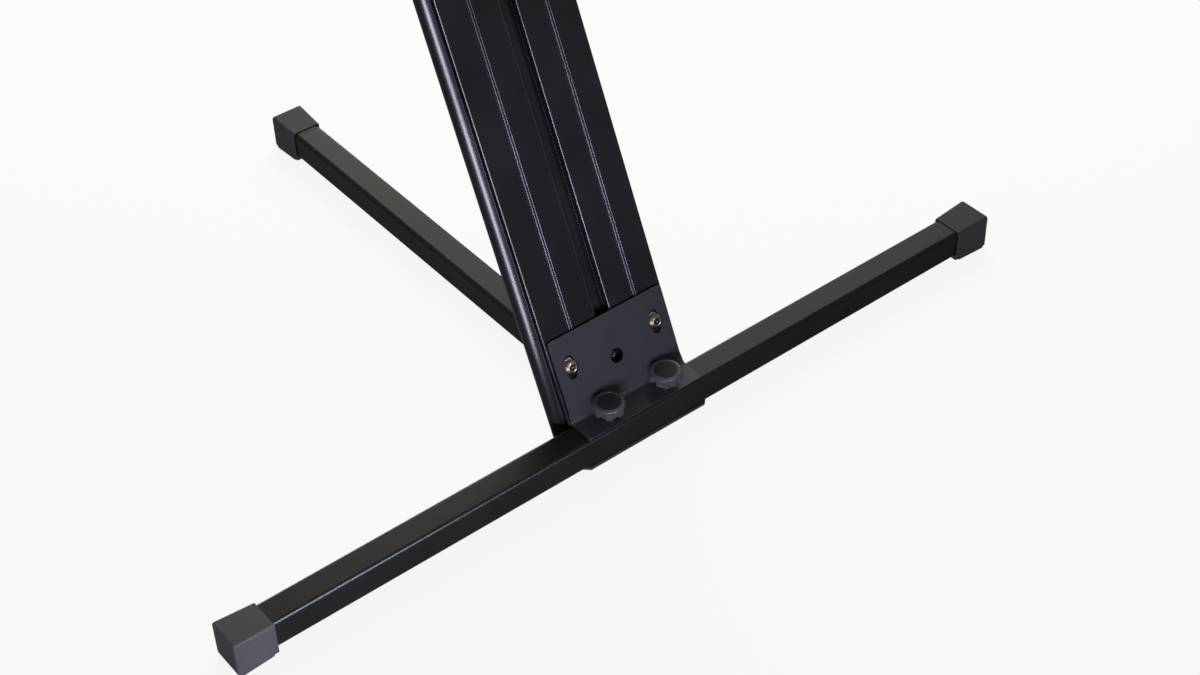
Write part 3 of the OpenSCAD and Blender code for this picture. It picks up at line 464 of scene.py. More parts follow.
@dataclass
class RubberFoot:
    """Flared rubber foot that is pushed over the end of a square tube, with a sole step below."""

    mouth_w_mm: float = 36.0
    end_w_mm: float = 39.6
    mouth_top_mm: float = 39.9
    end_top_mm: float = 42.3
    length_mm: float = 43.5
    low_mm: float = 1.6
    edge_mm: float = 3.0
    least_edge_mm: float = 1.0
    end_edge_mm: float = 2.8
    rim_mm: float = 0.6
    mouth_depth_mm: float = 3.0
    mouth_gap_mm: float = 0.5
    tube_bite_mm: float = 0.3
    sole_from_mm: float = 5.0
    sole_short_mm: float = 1.2
    sole_side_mm: float = 0.7
    sole_corner_mm: float = 4.0
    sharp_deg: float = 60.0

    def section(self, along_mm: float, inset_mm: float, edge_mm: float) -> list[Point]:
        """Gives the foot's cross-section.

        Args:
            along_mm: Distance from the foot's mouth.
            inset_mm: How far the outline is drawn in.
            edge_mm: Radius of its corners.

        Returns:
            The section's points in metres, with the way outward along X.
        """
        share = along_mm / self.length_mm
        half = (self.mouth_w_mm + (self.end_w_mm - self.mouth_w_mm) * share) / 2 - inset_mm
        top = self.mouth_top_mm + (self.end_top_mm - self.mouth_top_mm) * share - inset_mm
        run = corner_run(half, self.low_mm + inset_mm, top, edge_mm, 8)
        return [(along_mm * MM, y * MM, z * MM) for y, z in run]

    def tube_section(self, along_mm: float, play_mm: float) -> list[Point]:
        """Gives the tube's own section, a little larger, where the mouth goes down to it.

        Args:
            along_mm: Distance from the foot's mouth.
            play_mm: How much larger it is on each side.

        Returns:
            The section's points in metres.
        """
        low, high = TUBE_LOW / MM - play_mm, TUBE_HIGH / MM + play_mm
        half = (TUBE_HIGH - TUBE_LOW) / MM / 2 + play_mm
        run = corner_run(half, low, high, TUBE_CORNER_MM, 8)
        return [(along_mm * MM, y * MM, z * MM) for y, z in run]

    def rings(self) -> list[list[Point]]:
        """Gives the body's rings.

        Returns:
            The rings, from inside the mouth to the end's middle.
        """
        rim, r, length = self.rim_mm, self.end_edge_mm, self.length_mm
        rings = [self.tube_section(self.mouth_depth_mm, -self.tube_bite_mm),
                 self.tube_section(self.mouth_depth_mm, self.mouth_gap_mm),
                 self.tube_section(rim * 0.4, self.mouth_gap_mm)]
        for c, s in quarter(90, 0, 4):
            inset = rim * (1 - c)
            rings.append(self.section(rim * (1 - s), inset, self.edge_mm - inset * 0.5))
        for step in (0.2, 0.4, 0.6, 0.8):
            rings.append(self.section(rim + (length - rim - r) * step, 0.0, self.edge_mm))
        for c, s in quarter(0, 90, 8):
            inset = r * (1 - c)
            corner = max(self.edge_mm - inset * 0.4, self.least_edge_mm)
            rings.append(self.section(length - r + r * s, inset, corner))
        return rings

    def sole(self) -> list[list[Point]]:
        """Gives the sole's rings.

        Returns:
            The rings, from inside the body down to the floor.
        """
        start, end, r = self.sole_from_mm, self.length_mm - self.sole_short_mm, self.sole_corner_mm
        rings = []
        for inset, high in SOLE_PROFILE:
            near = self.mouth_w_mm / 2 - self.sole_side_mm - inset
            far = self.end_w_mm / 2 - self.sole_side_mm - inset
            run = [(start + inset, near), (start + inset, -near)]
            run += [(end - r - inset + r * c, -far + r + r * s) for c, s in quarter(270, 360, 6)]
            run += [(end - r - inset + r * c, far - r + r * s) for c, s in quarter(0, 90, 6)]
            rings.append([(x * MM, y * MM, high * MM) for x, y in run])
        return rings

    def build(self, name: str, place: Matrix) -> Piece:
        """Makes the foot where it stands.

        Args:
            name: Name of the piece.
            place: Turns the foot's mouth and way outward into the frame.

        Returns:
            The foot as one object at the origin.
        """
        body = ring_loft(self.rings(), name, self.sharp_deg)
        sole = ring_loft(self.sole(), name + "_sole", self.sharp_deg)
        work = bmesh.new()
        for part in (body, sole):
            work.from_mesh(part.data)
        for part in (body, sole):
            bpy.data.objects.remove(part)
        work.transform(place)
        bmesh.ops.recalc_face_normals(work, faces=work.faces)
        crease(work, math.radians(self.sharp_deg))
        return as_object(work, name)


class Ring(Enum):
    """Kind of a knob's ring: a plain circle, or the outline with its bites."""

    ROUND = "round"
    LOBED = "lobed"


# Heights of the rings up a knob's side, as shares of the way to its shoulder
SIDE_SHARES = (0.2, 0.4, 0.6, 0.75, 0.87, 0.95, 1.0)
# Outwards from the disc's edge and down from the top, in millimetres, through the fine ring and its groove
TOP_PROFILE = ((0.9, 0.30), (0.6, 0.05), (0.2, 0.0), (-0.1, 0.12), (-0.25, 0.6), (-0.6, 0.6), (-0.8, 0.25),
               (-1.2, 0.16))


@dataclass
class HandKnob:
    """Seven-lobed hand knob, moulded, with a flat disc and a fine ring on its top."""

    across_mm: float
    high_mm: float
    neck_mm: float
    bore_mm: float
    bore_deep_mm: float
    lobes: int = 7
    steps: int = 24
    bite_share: float = 0.25
    bite_sunk: float = 0.8
    bite_clear_mm: float = 0.5
    disc_share: float = 0.76
    disc_rings: int = 5
    neck_share: float = 0.38
    under_mm: float = 1.3
    shoulder_mm: float = 2.2
    soft_mm: float = 0.6
    halvings: int = 30

    def reach(self, angle: float, inset: float, shift: float) -> float:
        """Gives how far the lobed outline reaches at an angle, drawn in by an inset.

        Args:
            angle: Angle round the knob in radians, 0 in the middle of a lobe.
            inset: How far the outline is drawn in, in millimetres.
            shift: How far the bites have moved outwards, in millimetres.

        Returns:
            The radius in millimetres.
        """
        radius = self.across_mm / 2
        bite = self.bite_share * radius
        middle = radius + (1.0 - self.bite_sunk) * bite + shift
        turn = 2 * math.pi / self.lobes
        off = (angle % turn) - turn / 2
        low, high = 0.0, radius + 1.0
        for _ in range(self.halvings):
            r = (low + high) / 2
            past_rim = r - radius
            in_bite = bite - math.hypot(r * math.cos(off) - middle, r * math.sin(off))
            blend = max(self.soft_mm - abs(past_rim - in_bite), 0.0) / self.soft_mm
            if max(past_rim, in_bite) + blend * blend * self.soft_mm / 4 + inset > 0:
                high = r
            else:
                low = r
        return low

    def levels(self) -> list[tuple[Ring, float, float]]:
        """Gives the knob's profile, whose bites run up the side and end below the shoulder in an arch.

        Returns:
            For each ring its kind, its radius or inset, and its height, in millimetres.
        """
        h, r = self.high_mm, self.across_mm / 2
        neck, neck_h = self.neck_mm / 2, self.neck_share * h
        bore, disc, under = self.bore_mm / 2, self.disc_share * r, self.under_mm
        low, high, deep = neck_h + under, h - self.shoulder_mm, self.shoulder_mm - 0.45
        shank = ((0.1, self.bore_deep_mm), (bore, self.bore_deep_mm), (bore, 0.3), (bore + 0.3, 0.0),
                 (neck - 0.3, 0.0), (neck, 0.3), (neck, neck_h * 0.9), (neck + 0.3, neck_h))
        rows = [(Ring.ROUND, out, up) for out, up in shank]
        rows.append((Ring.LOBED, under, neck_h))
        rows += [(Ring.LOBED, under * (1 - c), low + under * s) for c, s in quarter(-70, 0, 3)]
        rows += [(Ring.LOBED, 0.0, low + (high - low) * share) for share in SIDE_SHARES]
        rows += [(Ring.ROUND, r - deep * 1.2 * (1 - c), high + deep * s) for c, s in quarter(15, 75, 5)]
        rows += [(Ring.ROUND, disc + out, h - down) for out, down in TOP_PROFILE]
        rows += [(Ring.ROUND, disc * share, h - 0.1) for share in (0.5, 0.1)]
        return rows

    def bite_shift(self, height: float) -> float:
        """Gives how far the bites have moved outwards at a height, until they leave the side.

        Args:
            height: The height above the knob's underside, in millimetres.

        Returns:
            The distance in millimetres.
        """
        low, high = self.neck_share * self.high_mm + self.under_mm, self.high_mm - self.shoulder_mm
        share = min(max((height - low) / (high - low), 0.0), 1.0)
        leave = self.bite_share * self.across_mm / 2 * self.bite_sunk + self.bite_clear_mm
        return leave * (1.0 - math.sqrt(1.0 - share ** 2))

    def build(self, name: str, base: Vector, axis: Vector, lobe: Vector) -> Piece:
        """Makes the knob where it is screwed on.

        Args:
            name: Name of the piece.
            base: Middle of its underside.
            axis: The way that it points, a unit vector.
            lobe: The way that its first lobe points, a unit vector.

        Returns:
            The knob as one object at the origin.
        """
        side = axis.cross(lobe)
        count = self.lobes * self.steps
        angles = [2 * math.pi * i / count for i in range(count)]
        ways = [lobe * math.cos(angle) + side * math.sin(angle) for angle in angles]
        rings = []
        for kind, size, height in self.levels():
            middle, shift = base + axis * (height * MM), self.bite_shift(height)
            ring = []
            for angle, way in zip(angles, ways):
                r = size if kind is Ring.ROUND else self.reach(angle, size, shift)
                ring.append(tuple(middle + way * (r * MM)))
            rings.append(ring)
        made = ring_loft(rings, name, 42.0, len(rings) - self.disc_rings)
        coat(made, KNOB_NYLON, KNOB_DISC)
        return made


def geometry_tree(tree_name: str, sockets: dict[str, str]) -> Tree:
    """Starts a geometry tree with named inputs.

    Args:
        tree_name: Name of the tree.
        sockets: The type of each input.

    Returns:
        The tree, with a geometry input and output.
    """
    tree = bpy.data.node_groups.new(tree_name, "GeometryNodeTree")
    tree.interface.new_socket("Geometry", in_out="INPUT", socket_type="NodeSocketGeometry")
    for name, kind in sockets.items():
        tree.interface.new_socket(name, in_out="INPUT", socket_type=kind)
    tree.interface.new_socket("Geometry", in_out="OUTPUT", socket_type="NodeSocketGeometry")
    return tree


def grown(start: Piece, tree: Tree, values: dict[str, Any]) -> Piece:
    """Runs a geometry tree on an object and keeps the result as its plain mesh.

    Args:
        start: The object with the points or faces that the tree starts from.
        tree: The geometry tree.
        values: For each named input, its value.

    Returns:
        The object, with the result as its mesh.
    """
    live = start.modifiers.new("nodes", "NODES")
    live.node_group = tree
    for socket in tree.interface.items_tree:
        if socket.in_out == "INPUT" and socket.name in values:
            live[socket.identifier] = values[socket.name]
    return plain(start)


def points_object(name: str, points: Sequence[Vector]) -> Piece:
    """Makes an object of loose points, which a geometry tree sets copies on.

    Args:
        name: Name of the object.
        points: The points.

    Returns:
        The object.
    """
    mesh = bpy.data.meshes.new(name)
    mesh.from_pydata([tuple(p) for p in points], [], [])
    return linked(name, mesh)


# Name of the attribute that marks the faces inside a screw's socket
SOCKET_MARK = "socket"


def fastener_tree(material: bpy.types.Material) -> Tree:
    """Builds the tree that sets a screw head on every point, each turned a little differently.

    Args:
        material: The finish that the copies get.

    Returns:
        The tree, with the inputs Head, Tilt, Turn spread and Seed.
    """
    tree = geometry_tree("screw_heads_" + material.name, {
        "Head": "NodeSocketObject", "Tilt": "NodeSocketVector", "Turn spread": "NodeSocketFloat",
        "Seed": "NodeSocketInt"})
    given = add(tree, "NodeGroupInput").outputs
    spread = given["Turn spread"]
    less = add(tree, "ShaderNodeMath", {0: spread, 1: -1.0}, operation="MULTIPLY")
    turn = add(tree, "FunctionNodeRandomValue", {2: less, 3: spread, "Seed": given["Seed"]}).outputs[1]
    local = add(tree, "ShaderNodeCombineXYZ", {"Z": turn})
    head = add(tree, "GeometryNodeObjectInfo", {"Object": given["Head"]}).outputs["Geometry"]
    turns = {"Rotation": given["Tilt"], "Rotate By": local}
    spun = add(tree, "FunctionNodeRotateEuler", turns, space="LOCAL")
    placed = add(tree, "GeometryNodeInstanceOnPoints", {
        "Points": given["Geometry"], "Instance": head, "Rotation": spun})
    real = add(tree, "GeometryNodeRealizeInstances", {"Geometry": placed})
    named = {"Name": SOCKET_MARK}
    inside = add(tree, "GeometryNodeInputNamedAttribute", named, data_type="BOOLEAN")
    outside = add(tree, "FunctionNodeBooleanMath", {0: inside}, operation="NOT")
    skin = {"Geometry": real, "Selection": outside, "Material": material}
    outer = add(tree, "GeometryNodeSetMaterial", skin)
    # The socket's walls and floor take the dark finish, a painted shade in the recess
    hollow = {"Geometry": outer, "Selection": inside, "Material": SOCKET_SHADE.material()}
    dressed = add(tree, "GeometryNodeSetMaterial", hollow)
    add(tree, "NodeGroupOutput", {"Geometry": dressed})
    return tree


@dataclass
class ButtonScrew:
    """Button-head socket screw along Z, its head above z = 0 and its shank below."""

    head_mm: float
    high_mm: float
    socket_mm: float
    shank_mm: float
    shank_len_mm: float
    rim_mm: float = 0.8
    socket_deep_mm: float = 1.7
    point_mm: float = 1.4
    edge_mm: float = 0.3
    tip_mm: float = 0.6
    count: int = 48

    def hexagon(self, angle: float) -> float:
        """Gives the socket's reach at an angle."""
        sixth = math.pi / 3
        return self.socket_mm / 2 / math.cos(angle % sixth - sixth / 2)

    def build(self, name: str) -> Piece:
        """Makes the screw at the origin, as the shape that its copies are made from.

        Args:
            name: Name of the object.

        Returns:
            The screw, with the faces inside its socket marked.
        """
        radius, crown, shank = self.head_mm / 2, self.high_mm - self.rim_mm, self.shank_mm / 2
        ball = (radius ** 2 + crown ** 2) / (2 * crown)
        rows: list[tuple[float | None, float]] = [
            (0.2, -self.shank_len_mm), (shank - self.tip_mm, -self.shank_len_mm),
            (shank, self.tip_mm - self.shank_len_mm), (shank, 0.0), (radius - self.edge_mm, 0.0),
            (radius, self.edge_mm), (radius, self.rim_mm - 0.1)]
        mouth = self.socket_mm / math.sqrt(3) + 0.9
        for i in range(1, 9):
            r = radius - 0.15 + (mouth - radius + 0.15) * i / 8
            rows.append((r, self.high_mm - ball + math.sqrt(ball ** 2 - r ** 2)))
        top, floor = rows[-1][1], self.high_mm - self.socket_deep_mm
        rows += [(mouth - 0.45, top + 0.02), (None, top - 0.35), (None, floor), (self.point_mm, floor)]
        rows += [(self.point_mm * c, floor + self.point_mm * 0.7 * s) for c, s in quarter(20, 85, 5)]
        rings = []
        for r, z in rows:
            ring = []
            for i in range(self.count):
                a = 2 * math.pi * i / self.count
                reach = self.hexagon(a) if r is None else r
                ring.append((reach * math.cos(a) * MM, reach * math.sin(a) * MM, z * MM))
            rings.append(ring)
        made = ring_loft(rings, name, 38.0)
        inside = made.data.attributes.new(SOCKET_MARK, "BOOLEAN", "FACE")
        low, wide = (top - 0.4) * MM, (mouth - 0.6) * MM
        for face in made.data.polygons:
            x, y, z = face.center
            inside.data[face.index].value = 0.0 < z < low and self.point_mm * MM < math.hypot(x, y) < wide
        return made


CROSSBAR_KNOB = HandKnob(across_mm=33.0, high_mm=18.4, neck_mm=17.0, bore_mm=8.4, bore_deep_mm=13.0)
LEG_KNOB = HandKnob(across_mm=37.0, high_mm=24.0, neck_mm=20.0, bore_mm=14.4, bore_deep_mm=15.0)
CLAMP_KNOB = HandKnob(across_mm=42.0, high_mm=24.0, neck_mm=20.0, bore_mm=10.4, bore_deep_mm=15.0)
SIDE_SCREW = ButtonScrew(head_mm=16.2, high_mm=4.6, socket_mm=6.0, shank_mm=8.0, shank_len_mm=17.0)
CENTRE_SCREW = ButtonScrew(head_mm=12.0, high_mm=4.4, socket_mm=5.0, shank_mm=6.0, shank_len_mm=20.0)
HINGE_SCREW = ButtonScrew(head_mm=11.0, high_mm=3.4, socket_mm=4.0, shank_mm=6.0, shank_len_mm=16.0,
                          socket_deep_mm=2.0)


@dataclass
class SubAssembly:
    """Base of the sub-assemblies: makes softened copies of nodes, and dresses and fixes pieces."""

    nodes: dict[str, Piece]
    slots: dict[str, str]

    def build(self) -> None:
        """Makes the sub-assembly's pieces."""
        raise NotImplementedError

    def dress(self, piece: Piece, *nodes: str) -> Piece:
        """Gives a piece its finish and its body, and lets it stand for its nodes.

        Args:
            piece: The finished piece.
            nodes: The nodes that it replaces, of which the first says its slot and body.

        Returns:
            The piece.
        """
        slot = self.slots[nodes[0]]
        if not piece.data.materials:
            coat(piece, FINISHES[slot])
        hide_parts(*nodes)
        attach(piece, self.nodes[nodes[0]]["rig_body"])
        log.info("%s: %d faces, %s", piece.name, len(piece.data.polygons), slot)
        return piece

    def merged(self, node: str) -> Work:
        """Copies a node and merges its triangles into faces.

        Args:
            node: The node's name.

        Returns:
            The working mesh.
        """
        work = bmesh.new()
        work.from_mesh(self.nodes[node].data)
        bmesh.ops.remove_doubles(work, verts=work.verts, dist=NODE_MERGE)
        bmesh.ops.dissolve_limit(work, angle_limit=FLAT_TURN, verts=work.verts, edges=work.edges)
        return work

    def round_edges(self, work: Work, edges: Sequence[bmesh.types.BMEdge], radius_mm: float,
                    steps: int) -> None:
        """Rounds the edges to a radius, with that many faces across."""
        bmesh.ops.bevel(work, geom=edges, offset=radius_mm * MM, offset_type="OFFSET", segments=steps,
                        profile=0.5, affect="EDGES", clamp_overlap=False)

    def finish_edges(self, work: Work, name: str, edge_mm: float, steps: int) -> Piece:
        """Rounds every sharp edge and turns the mesh into an object.

        Args:
            work: The merged mesh, which is freed here.
            name: Name of the new piece.
            edge_mm: Radius that its sharp edges get.
            steps: Faces across each rounded edge.

        Returns:
            The piece, still without a finish.
        """
        sharp = [e for e in work.edges if len(e.link_faces) == 2 and e.calc_face_angle(0.0) > ROUNDED_TURN]
        self.round_edges(work, sharp, edge_mm, steps)
        crease(work, SHARP_TURN)
        return as_object(work, name)

    def soften(self, node: str, name: str, edge_mm: float, steps: int = 2,
               finish: Finish | None = None) -> Piece:
        """Copies a node, merges its triangles into faces, and rounds its edges.

        Args:
            node: The node to copy and replace.
            name: Name of the new piece.
            edge_mm: Radius that its sharp edges get.
            steps: Faces across each rounded edge.
            finish: Its finish, where that isn't its slot's own.

        Returns:
            The dressed piece.
        """
        piece = self.finish_edges(self.merged(node), name, edge_mm, steps)
        if finish is not None:
            coat(piece, finish)
        return self.dress(piece, node)

    def keep(self, *names: str) -> None:
        """Gives carried-over nodes the finish of their slot.

        Args:
            names: The nodes.
        """
        for name in names:
            for slot in self.nodes[name].material_slots:
                slot.material = FINISHES[self.slots[name]].material()
            log.info("%s: kept, %s", name, self.slots[name])

    def screws(self, node: str, name: str, screw: ButtonScrew, points: Sequence[Vector], tilt: Point,
               seed: int) -> Piece:
        """Sets copies of a screw on points with a geometry tree.

        Args:
            node: The node that the screws replace.
            name: Name of the piece.
            screw: The screw's sizes.
            points: Where each head's underside lies.
            tilt: Turn of the screws, as Euler angles.
            seed: Seed of the small differences in their turn.

        Returns:
            The dressed piece.
        """
        pattern = screw.build(name + "_pattern")
        tree = fastener_tree(FINISHES[self.slots[node]].material())
        values = {"Head": pattern, "Tilt": tilt, "Turn spread": SCREW_TURN, "Seed": seed}
        made = grown(points_object(name, points), tree, values)
        bpy.data.objects.remove(pattern)
        return self.dress(made, node)


def on_column(across_mm: float, back_mm: float, up_mm: float) -> Vector:
    """Gives a point in the frame from the column's own directions, in millimetres."""
    place = COLUMN_FOOT - OUT_OF_COLUMN * back_mm * MM + UP_COLUMN * up_mm * MM
    return place + RIGHTWARD * (across_mm * MM)


class Base(SubAssembly):
    """Crossbar on its two feet, and the plate below it that the column stands on."""

    def build(self) -> None:
        """Makes the crossbar, its feet, the base plate and the plate's fasteners."""
        self.soften("crossbar_tube", "crossbar_coated_tube", 0.35)
        for side, hand, turn in ((1, "right", 0.0), (-1, "left", math.pi)):
            mouth = Matrix.Translation((side * CROSSBAR_MOUTH, CROSSBAR_Y, 0.0))
            foot = RubberFoot().build(f"flared_foot_{hand}", mouth @ Matrix.Rotation(turn, 4, "Z"))
            self.dress(foot, f"crossbar_foot_{hand}")
        self.soften("base_plate", "base_plate_coated", 0.5)
        self.soften("column_foot_screws", "countersunk_foot_screws", 0.2)
        self.soften("clinch_nuts", "pressed_clinch_nuts", 0.2)


@dataclass
class BracketSizes:
    """Where the bracket's screws and knobs sit, in millimetres."""

    slot_out: float = 53.0
    slot_up: float = 56.0
    plate: float = 3.0
    access_up: float = 43.6
    channel: float = 9.0
    knob_out: float = 36.0
    knob_up: float = 43.3


class Bracket(SubAssembly):
    """Folded bracket that joins column and crossbar, with its screws and its two hand knobs."""

    sizes = BracketSizes()
    # How much of its normal a skin face turns out of the column at least, and how far forward an edge face
    # turns that gets painted shade
    skin_out = 0.2
    shade_forward = 0.97

    def gets_painted_shade(self, normal: Vector) -> bool:
        """Tells by its normal whether a face is the sheet's cut edge, which gets painted shade, and not its
        skin.
        """
        return abs(normal.dot(OUT_OF_COLUMN)) < self.skin_out or normal.y < -self.shade_forward

    def build(self) -> None:
        """Makes the bracket, its three screws and both knobs."""
        size = self.sizes
        folded = self.finish_edges(self.merged("crossbar_bracket"), "folded_bracket", 0.45, 2)
        coat(folded, FOLDED_SHEET, SHADED_CUT_EDGE)
        # Cut edges take the near-black finish, a painted shade
        for face in folded.data.polygons:
            face.material_index = int(self.gets_painted_shade(face.normal))
        self.dress(folded, "crossbar_bracket")
        self.soften("bracket_slot_washers", "slot_washers", 0.2)
        facing = (math.pi / 2 - LEAN, 0.0, 0.0)
        seats = [on_column(side * size.slot_out, -size.plate, size.slot_up) for side in (-1, 1)]
        self.screws("bracket_side_screws", "button_head_screws", SIDE_SCREW, seats, facing, 4)
        seats = [on_column(0.0, size.channel, size.access_up)]
        self.screws("bracket_centre_screw", "channel_screw", CENTRE_SCREW, seats, facing, 7)
        for side, hand, turn_deg in ((-1, "left", 27.0), (1, "right", 1.3)):
            base = Vector((side * size.knob_out * MM, CROSSBAR_Y, size.knob_up * MM))
            lobe = Vector((math.cos(math.radians(turn_deg)), math.sin(math.radians(turn_deg)), 0.0))
            knob = CROSSBAR_KNOB.build(f"{hand}_star_knob", base, UPWARD, lobe)
            self.dress(knob, f"crossbar_knob_{hand}")
            self.soften(f"crossbar_stud_{hand}", f"{hand}_knob_stud", 0.3)
            self.soften(f"crossbar_washer_{hand}", f"{hand}_knob_washer", 0.25, finish=BLACK_OXIDE)


@dataclass
class ColumnSizes:
    """Where the extrusion's long front edges lie across it, and their radii, in millimetres."""

    channel_edge: float = 8.7
    channel_round: float = 0.9
    groove_at: float = 40.0
    groove_half: float = 2.25
    groove_highlight_depth: float = 0.3
    # How far back from the front a groove's face still gets the painted highlight
    groove_round: float = 0.35
    groove_lip: float = 0.4
    play: float = 0.5
    flatness: float = 0.05


class Column(SubAssembly):
    """The extruded column between its foot casting and its top cap."""

    sizes = ColumnSizes()
    # Length in metres and turn in radians from which an edge is one of the front's long sharp ones
    long_edge = 0.5
    sharp_edge = 0.5

    def front_edges(self, work: Work, middle: float, reach: float) -> list[bmesh.types.BMEdge]:
        """Finds long sharp edges of the front face on both sides of the column's middle.

        Args:
            work: The extrusion's working mesh.
            middle: Distance across from the column's middle, in millimetres.
            reach: How far an edge may lie from there, in millimetres.

        Returns:
            The edges.
        """
        found = []
        for edge in work.edges:
            a, b = (v.co - COLUMN_FOOT for v in edge.verts)
            off_face = max(abs(a.dot(OUT_OF_COLUMN)), abs(b.dot(OUT_OF_COLUMN)))
            if off_face > self.sizes.flatness * MM or abs((b - a).dot(UP_COLUMN)) < self.long_edge:
                continue
            if abs(abs(a.x) / MM - middle) < reach and edge.calc_face_angle(0.0) > self.sharp_edge:
                found.append(edge)
        return found

    def extrusion(self) -> None:
        """Makes the extrusion, with the soft lips of its channel and the fine ones of its grooves."""
        size = self.sizes
        work = self.merged("column_extrusion")
        lips = self.front_edges(work, size.channel_edge, size.play)
        self.round_edges(work, lips, size.channel_round, 5)
        groove = self.front_edges(work, size.groove_at, size.groove_half + size.play)
        log.info("extrusion: %d lips and %d groove edges", len(lips), len(groove))
        self.round_edges(work, groove, size.groove_round, 3)
        piece = self.finish_edges(work, COLUMN_NAME, 0.3, 2)
        coat(piece, ANODISED, PAINTED_LIP_HIGHLIGHT)
        # The lips of the grooves and the channel get the lighter finish, a painted highlight
        for face in piece.data.polygons:
            face.material_index = int(self.gets_painted_highlight(face.center - COLUMN_FOOT))
        self.dress(piece, "column_extrusion")

    def gets_painted_highlight(self, place: Vector) -> bool:
        """Tells whether a face lies on a groove's lips or on a lip of the channel, which get the painted
        highlight.

        Args:
            place: The face's middle, from the lowest front point of the column's middle.

        Returns:
            Whether it gets the lighter finish of the painted highlight.
        """
        size = self.sizes
        across, back = abs(place.x) / MM, -place.dot(OUT_OF_COLUMN) / MM
        in_groove = (abs(across - size.groove_at) < size.groove_half + size.groove_lip
                     and back < size.groove_highlight_depth)
        on_lip = abs(across - size.channel_edge) < size.channel_round and back < size.channel_round
        return on_lip or in_groove

    def build(self) -> None:
        """Makes the extrusion, the casting and the cap."""
        self.extrusion()
        self.soften("column_foot", "column_foot_casting", 0.5, finish=FOOT_CASTING)
        self.soften("column_top_cap", "column_end_cap", 0.8, 3)


@dataclass
class HingeSizes:
    """Where the hinge's screws sit on the column's back, in millimetres, and the clamp knob in the frame."""

    screw_out: float = 30.2
    screw_back: float = 53.2
    screw_ups: Flat = (34.0, 54.0)
    knob_base: Point = (0.0224, -0.141882, 0.0227)


class RearLeg(SubAssembly):
    """The folding rear leg, its hinge on the column's back and its clamp."""

    sizes = HingeSizes()

    def build(self) -> None:
        """Makes the hinge, the leg and the clamp knob."""
        size = self.sizes
        for hand in ("left", "right"):
            self.soften(f"leg_hinge_{hand}", f"hinge_cheek_{hand}", 0.45)
        seats = [on_column(out, size.screw_back, up)
                 for out in (-size.screw_out, size.screw_out) for up in size.screw_ups]
        facing = (-math.pi / 2 - LEAN, 0.0, 0.0)
        self.screws("leg_hinge_screws", "hinge_button_screws", HINGE_SCREW, seats, facing, 11)
        for node, name, edge_mm in (
                ("leg_pivot_bolt", "leg_pivot_hex_bolt", 0.4),
                ("leg_clamp_washer", "leg_clamp_flat_washer", 0.25),
                ("leg_clamp_insert", "leg_clamp_thread", 0.3), ("leg_bushes", "leg_flanged_bushes", 0.3)):
            self.soften(node, name, edge_mm)
        knob = LEG_KNOB.build("leg_star_knob", Vector(size.knob_base), RIGHTWARD, -UPWARD)
        self.dress(knob, "leg_clamp_knob")
        self.soften("rear_leg_tube", "rear_leg_coated_tube", 0.35)
        self.soften("rear_leg_plug", "rear_leg_end_plug", 0.5)
        mouth = Matrix.Translation((0.0, REAR_MOUTH + CROSSBAR_Y, 0.0))
        place = mouth @ Matrix.Rotation(math.pi / 2, 4, "Z")
        self.dress(RubberFoot().build("flared_foot_rear", place), "rear_leg_foot")


@dataclass
class PadSizes:
    """The arm pad: a soft strip with ridges along it, in millimetres."""

    width: float = 20.0
    corner: float = 1.2
    end_round: float = 0.4
    ridge_r: float = 0.8
    ridges: int = 6
    pitch: float = 3.0
    margin: float = 1.5


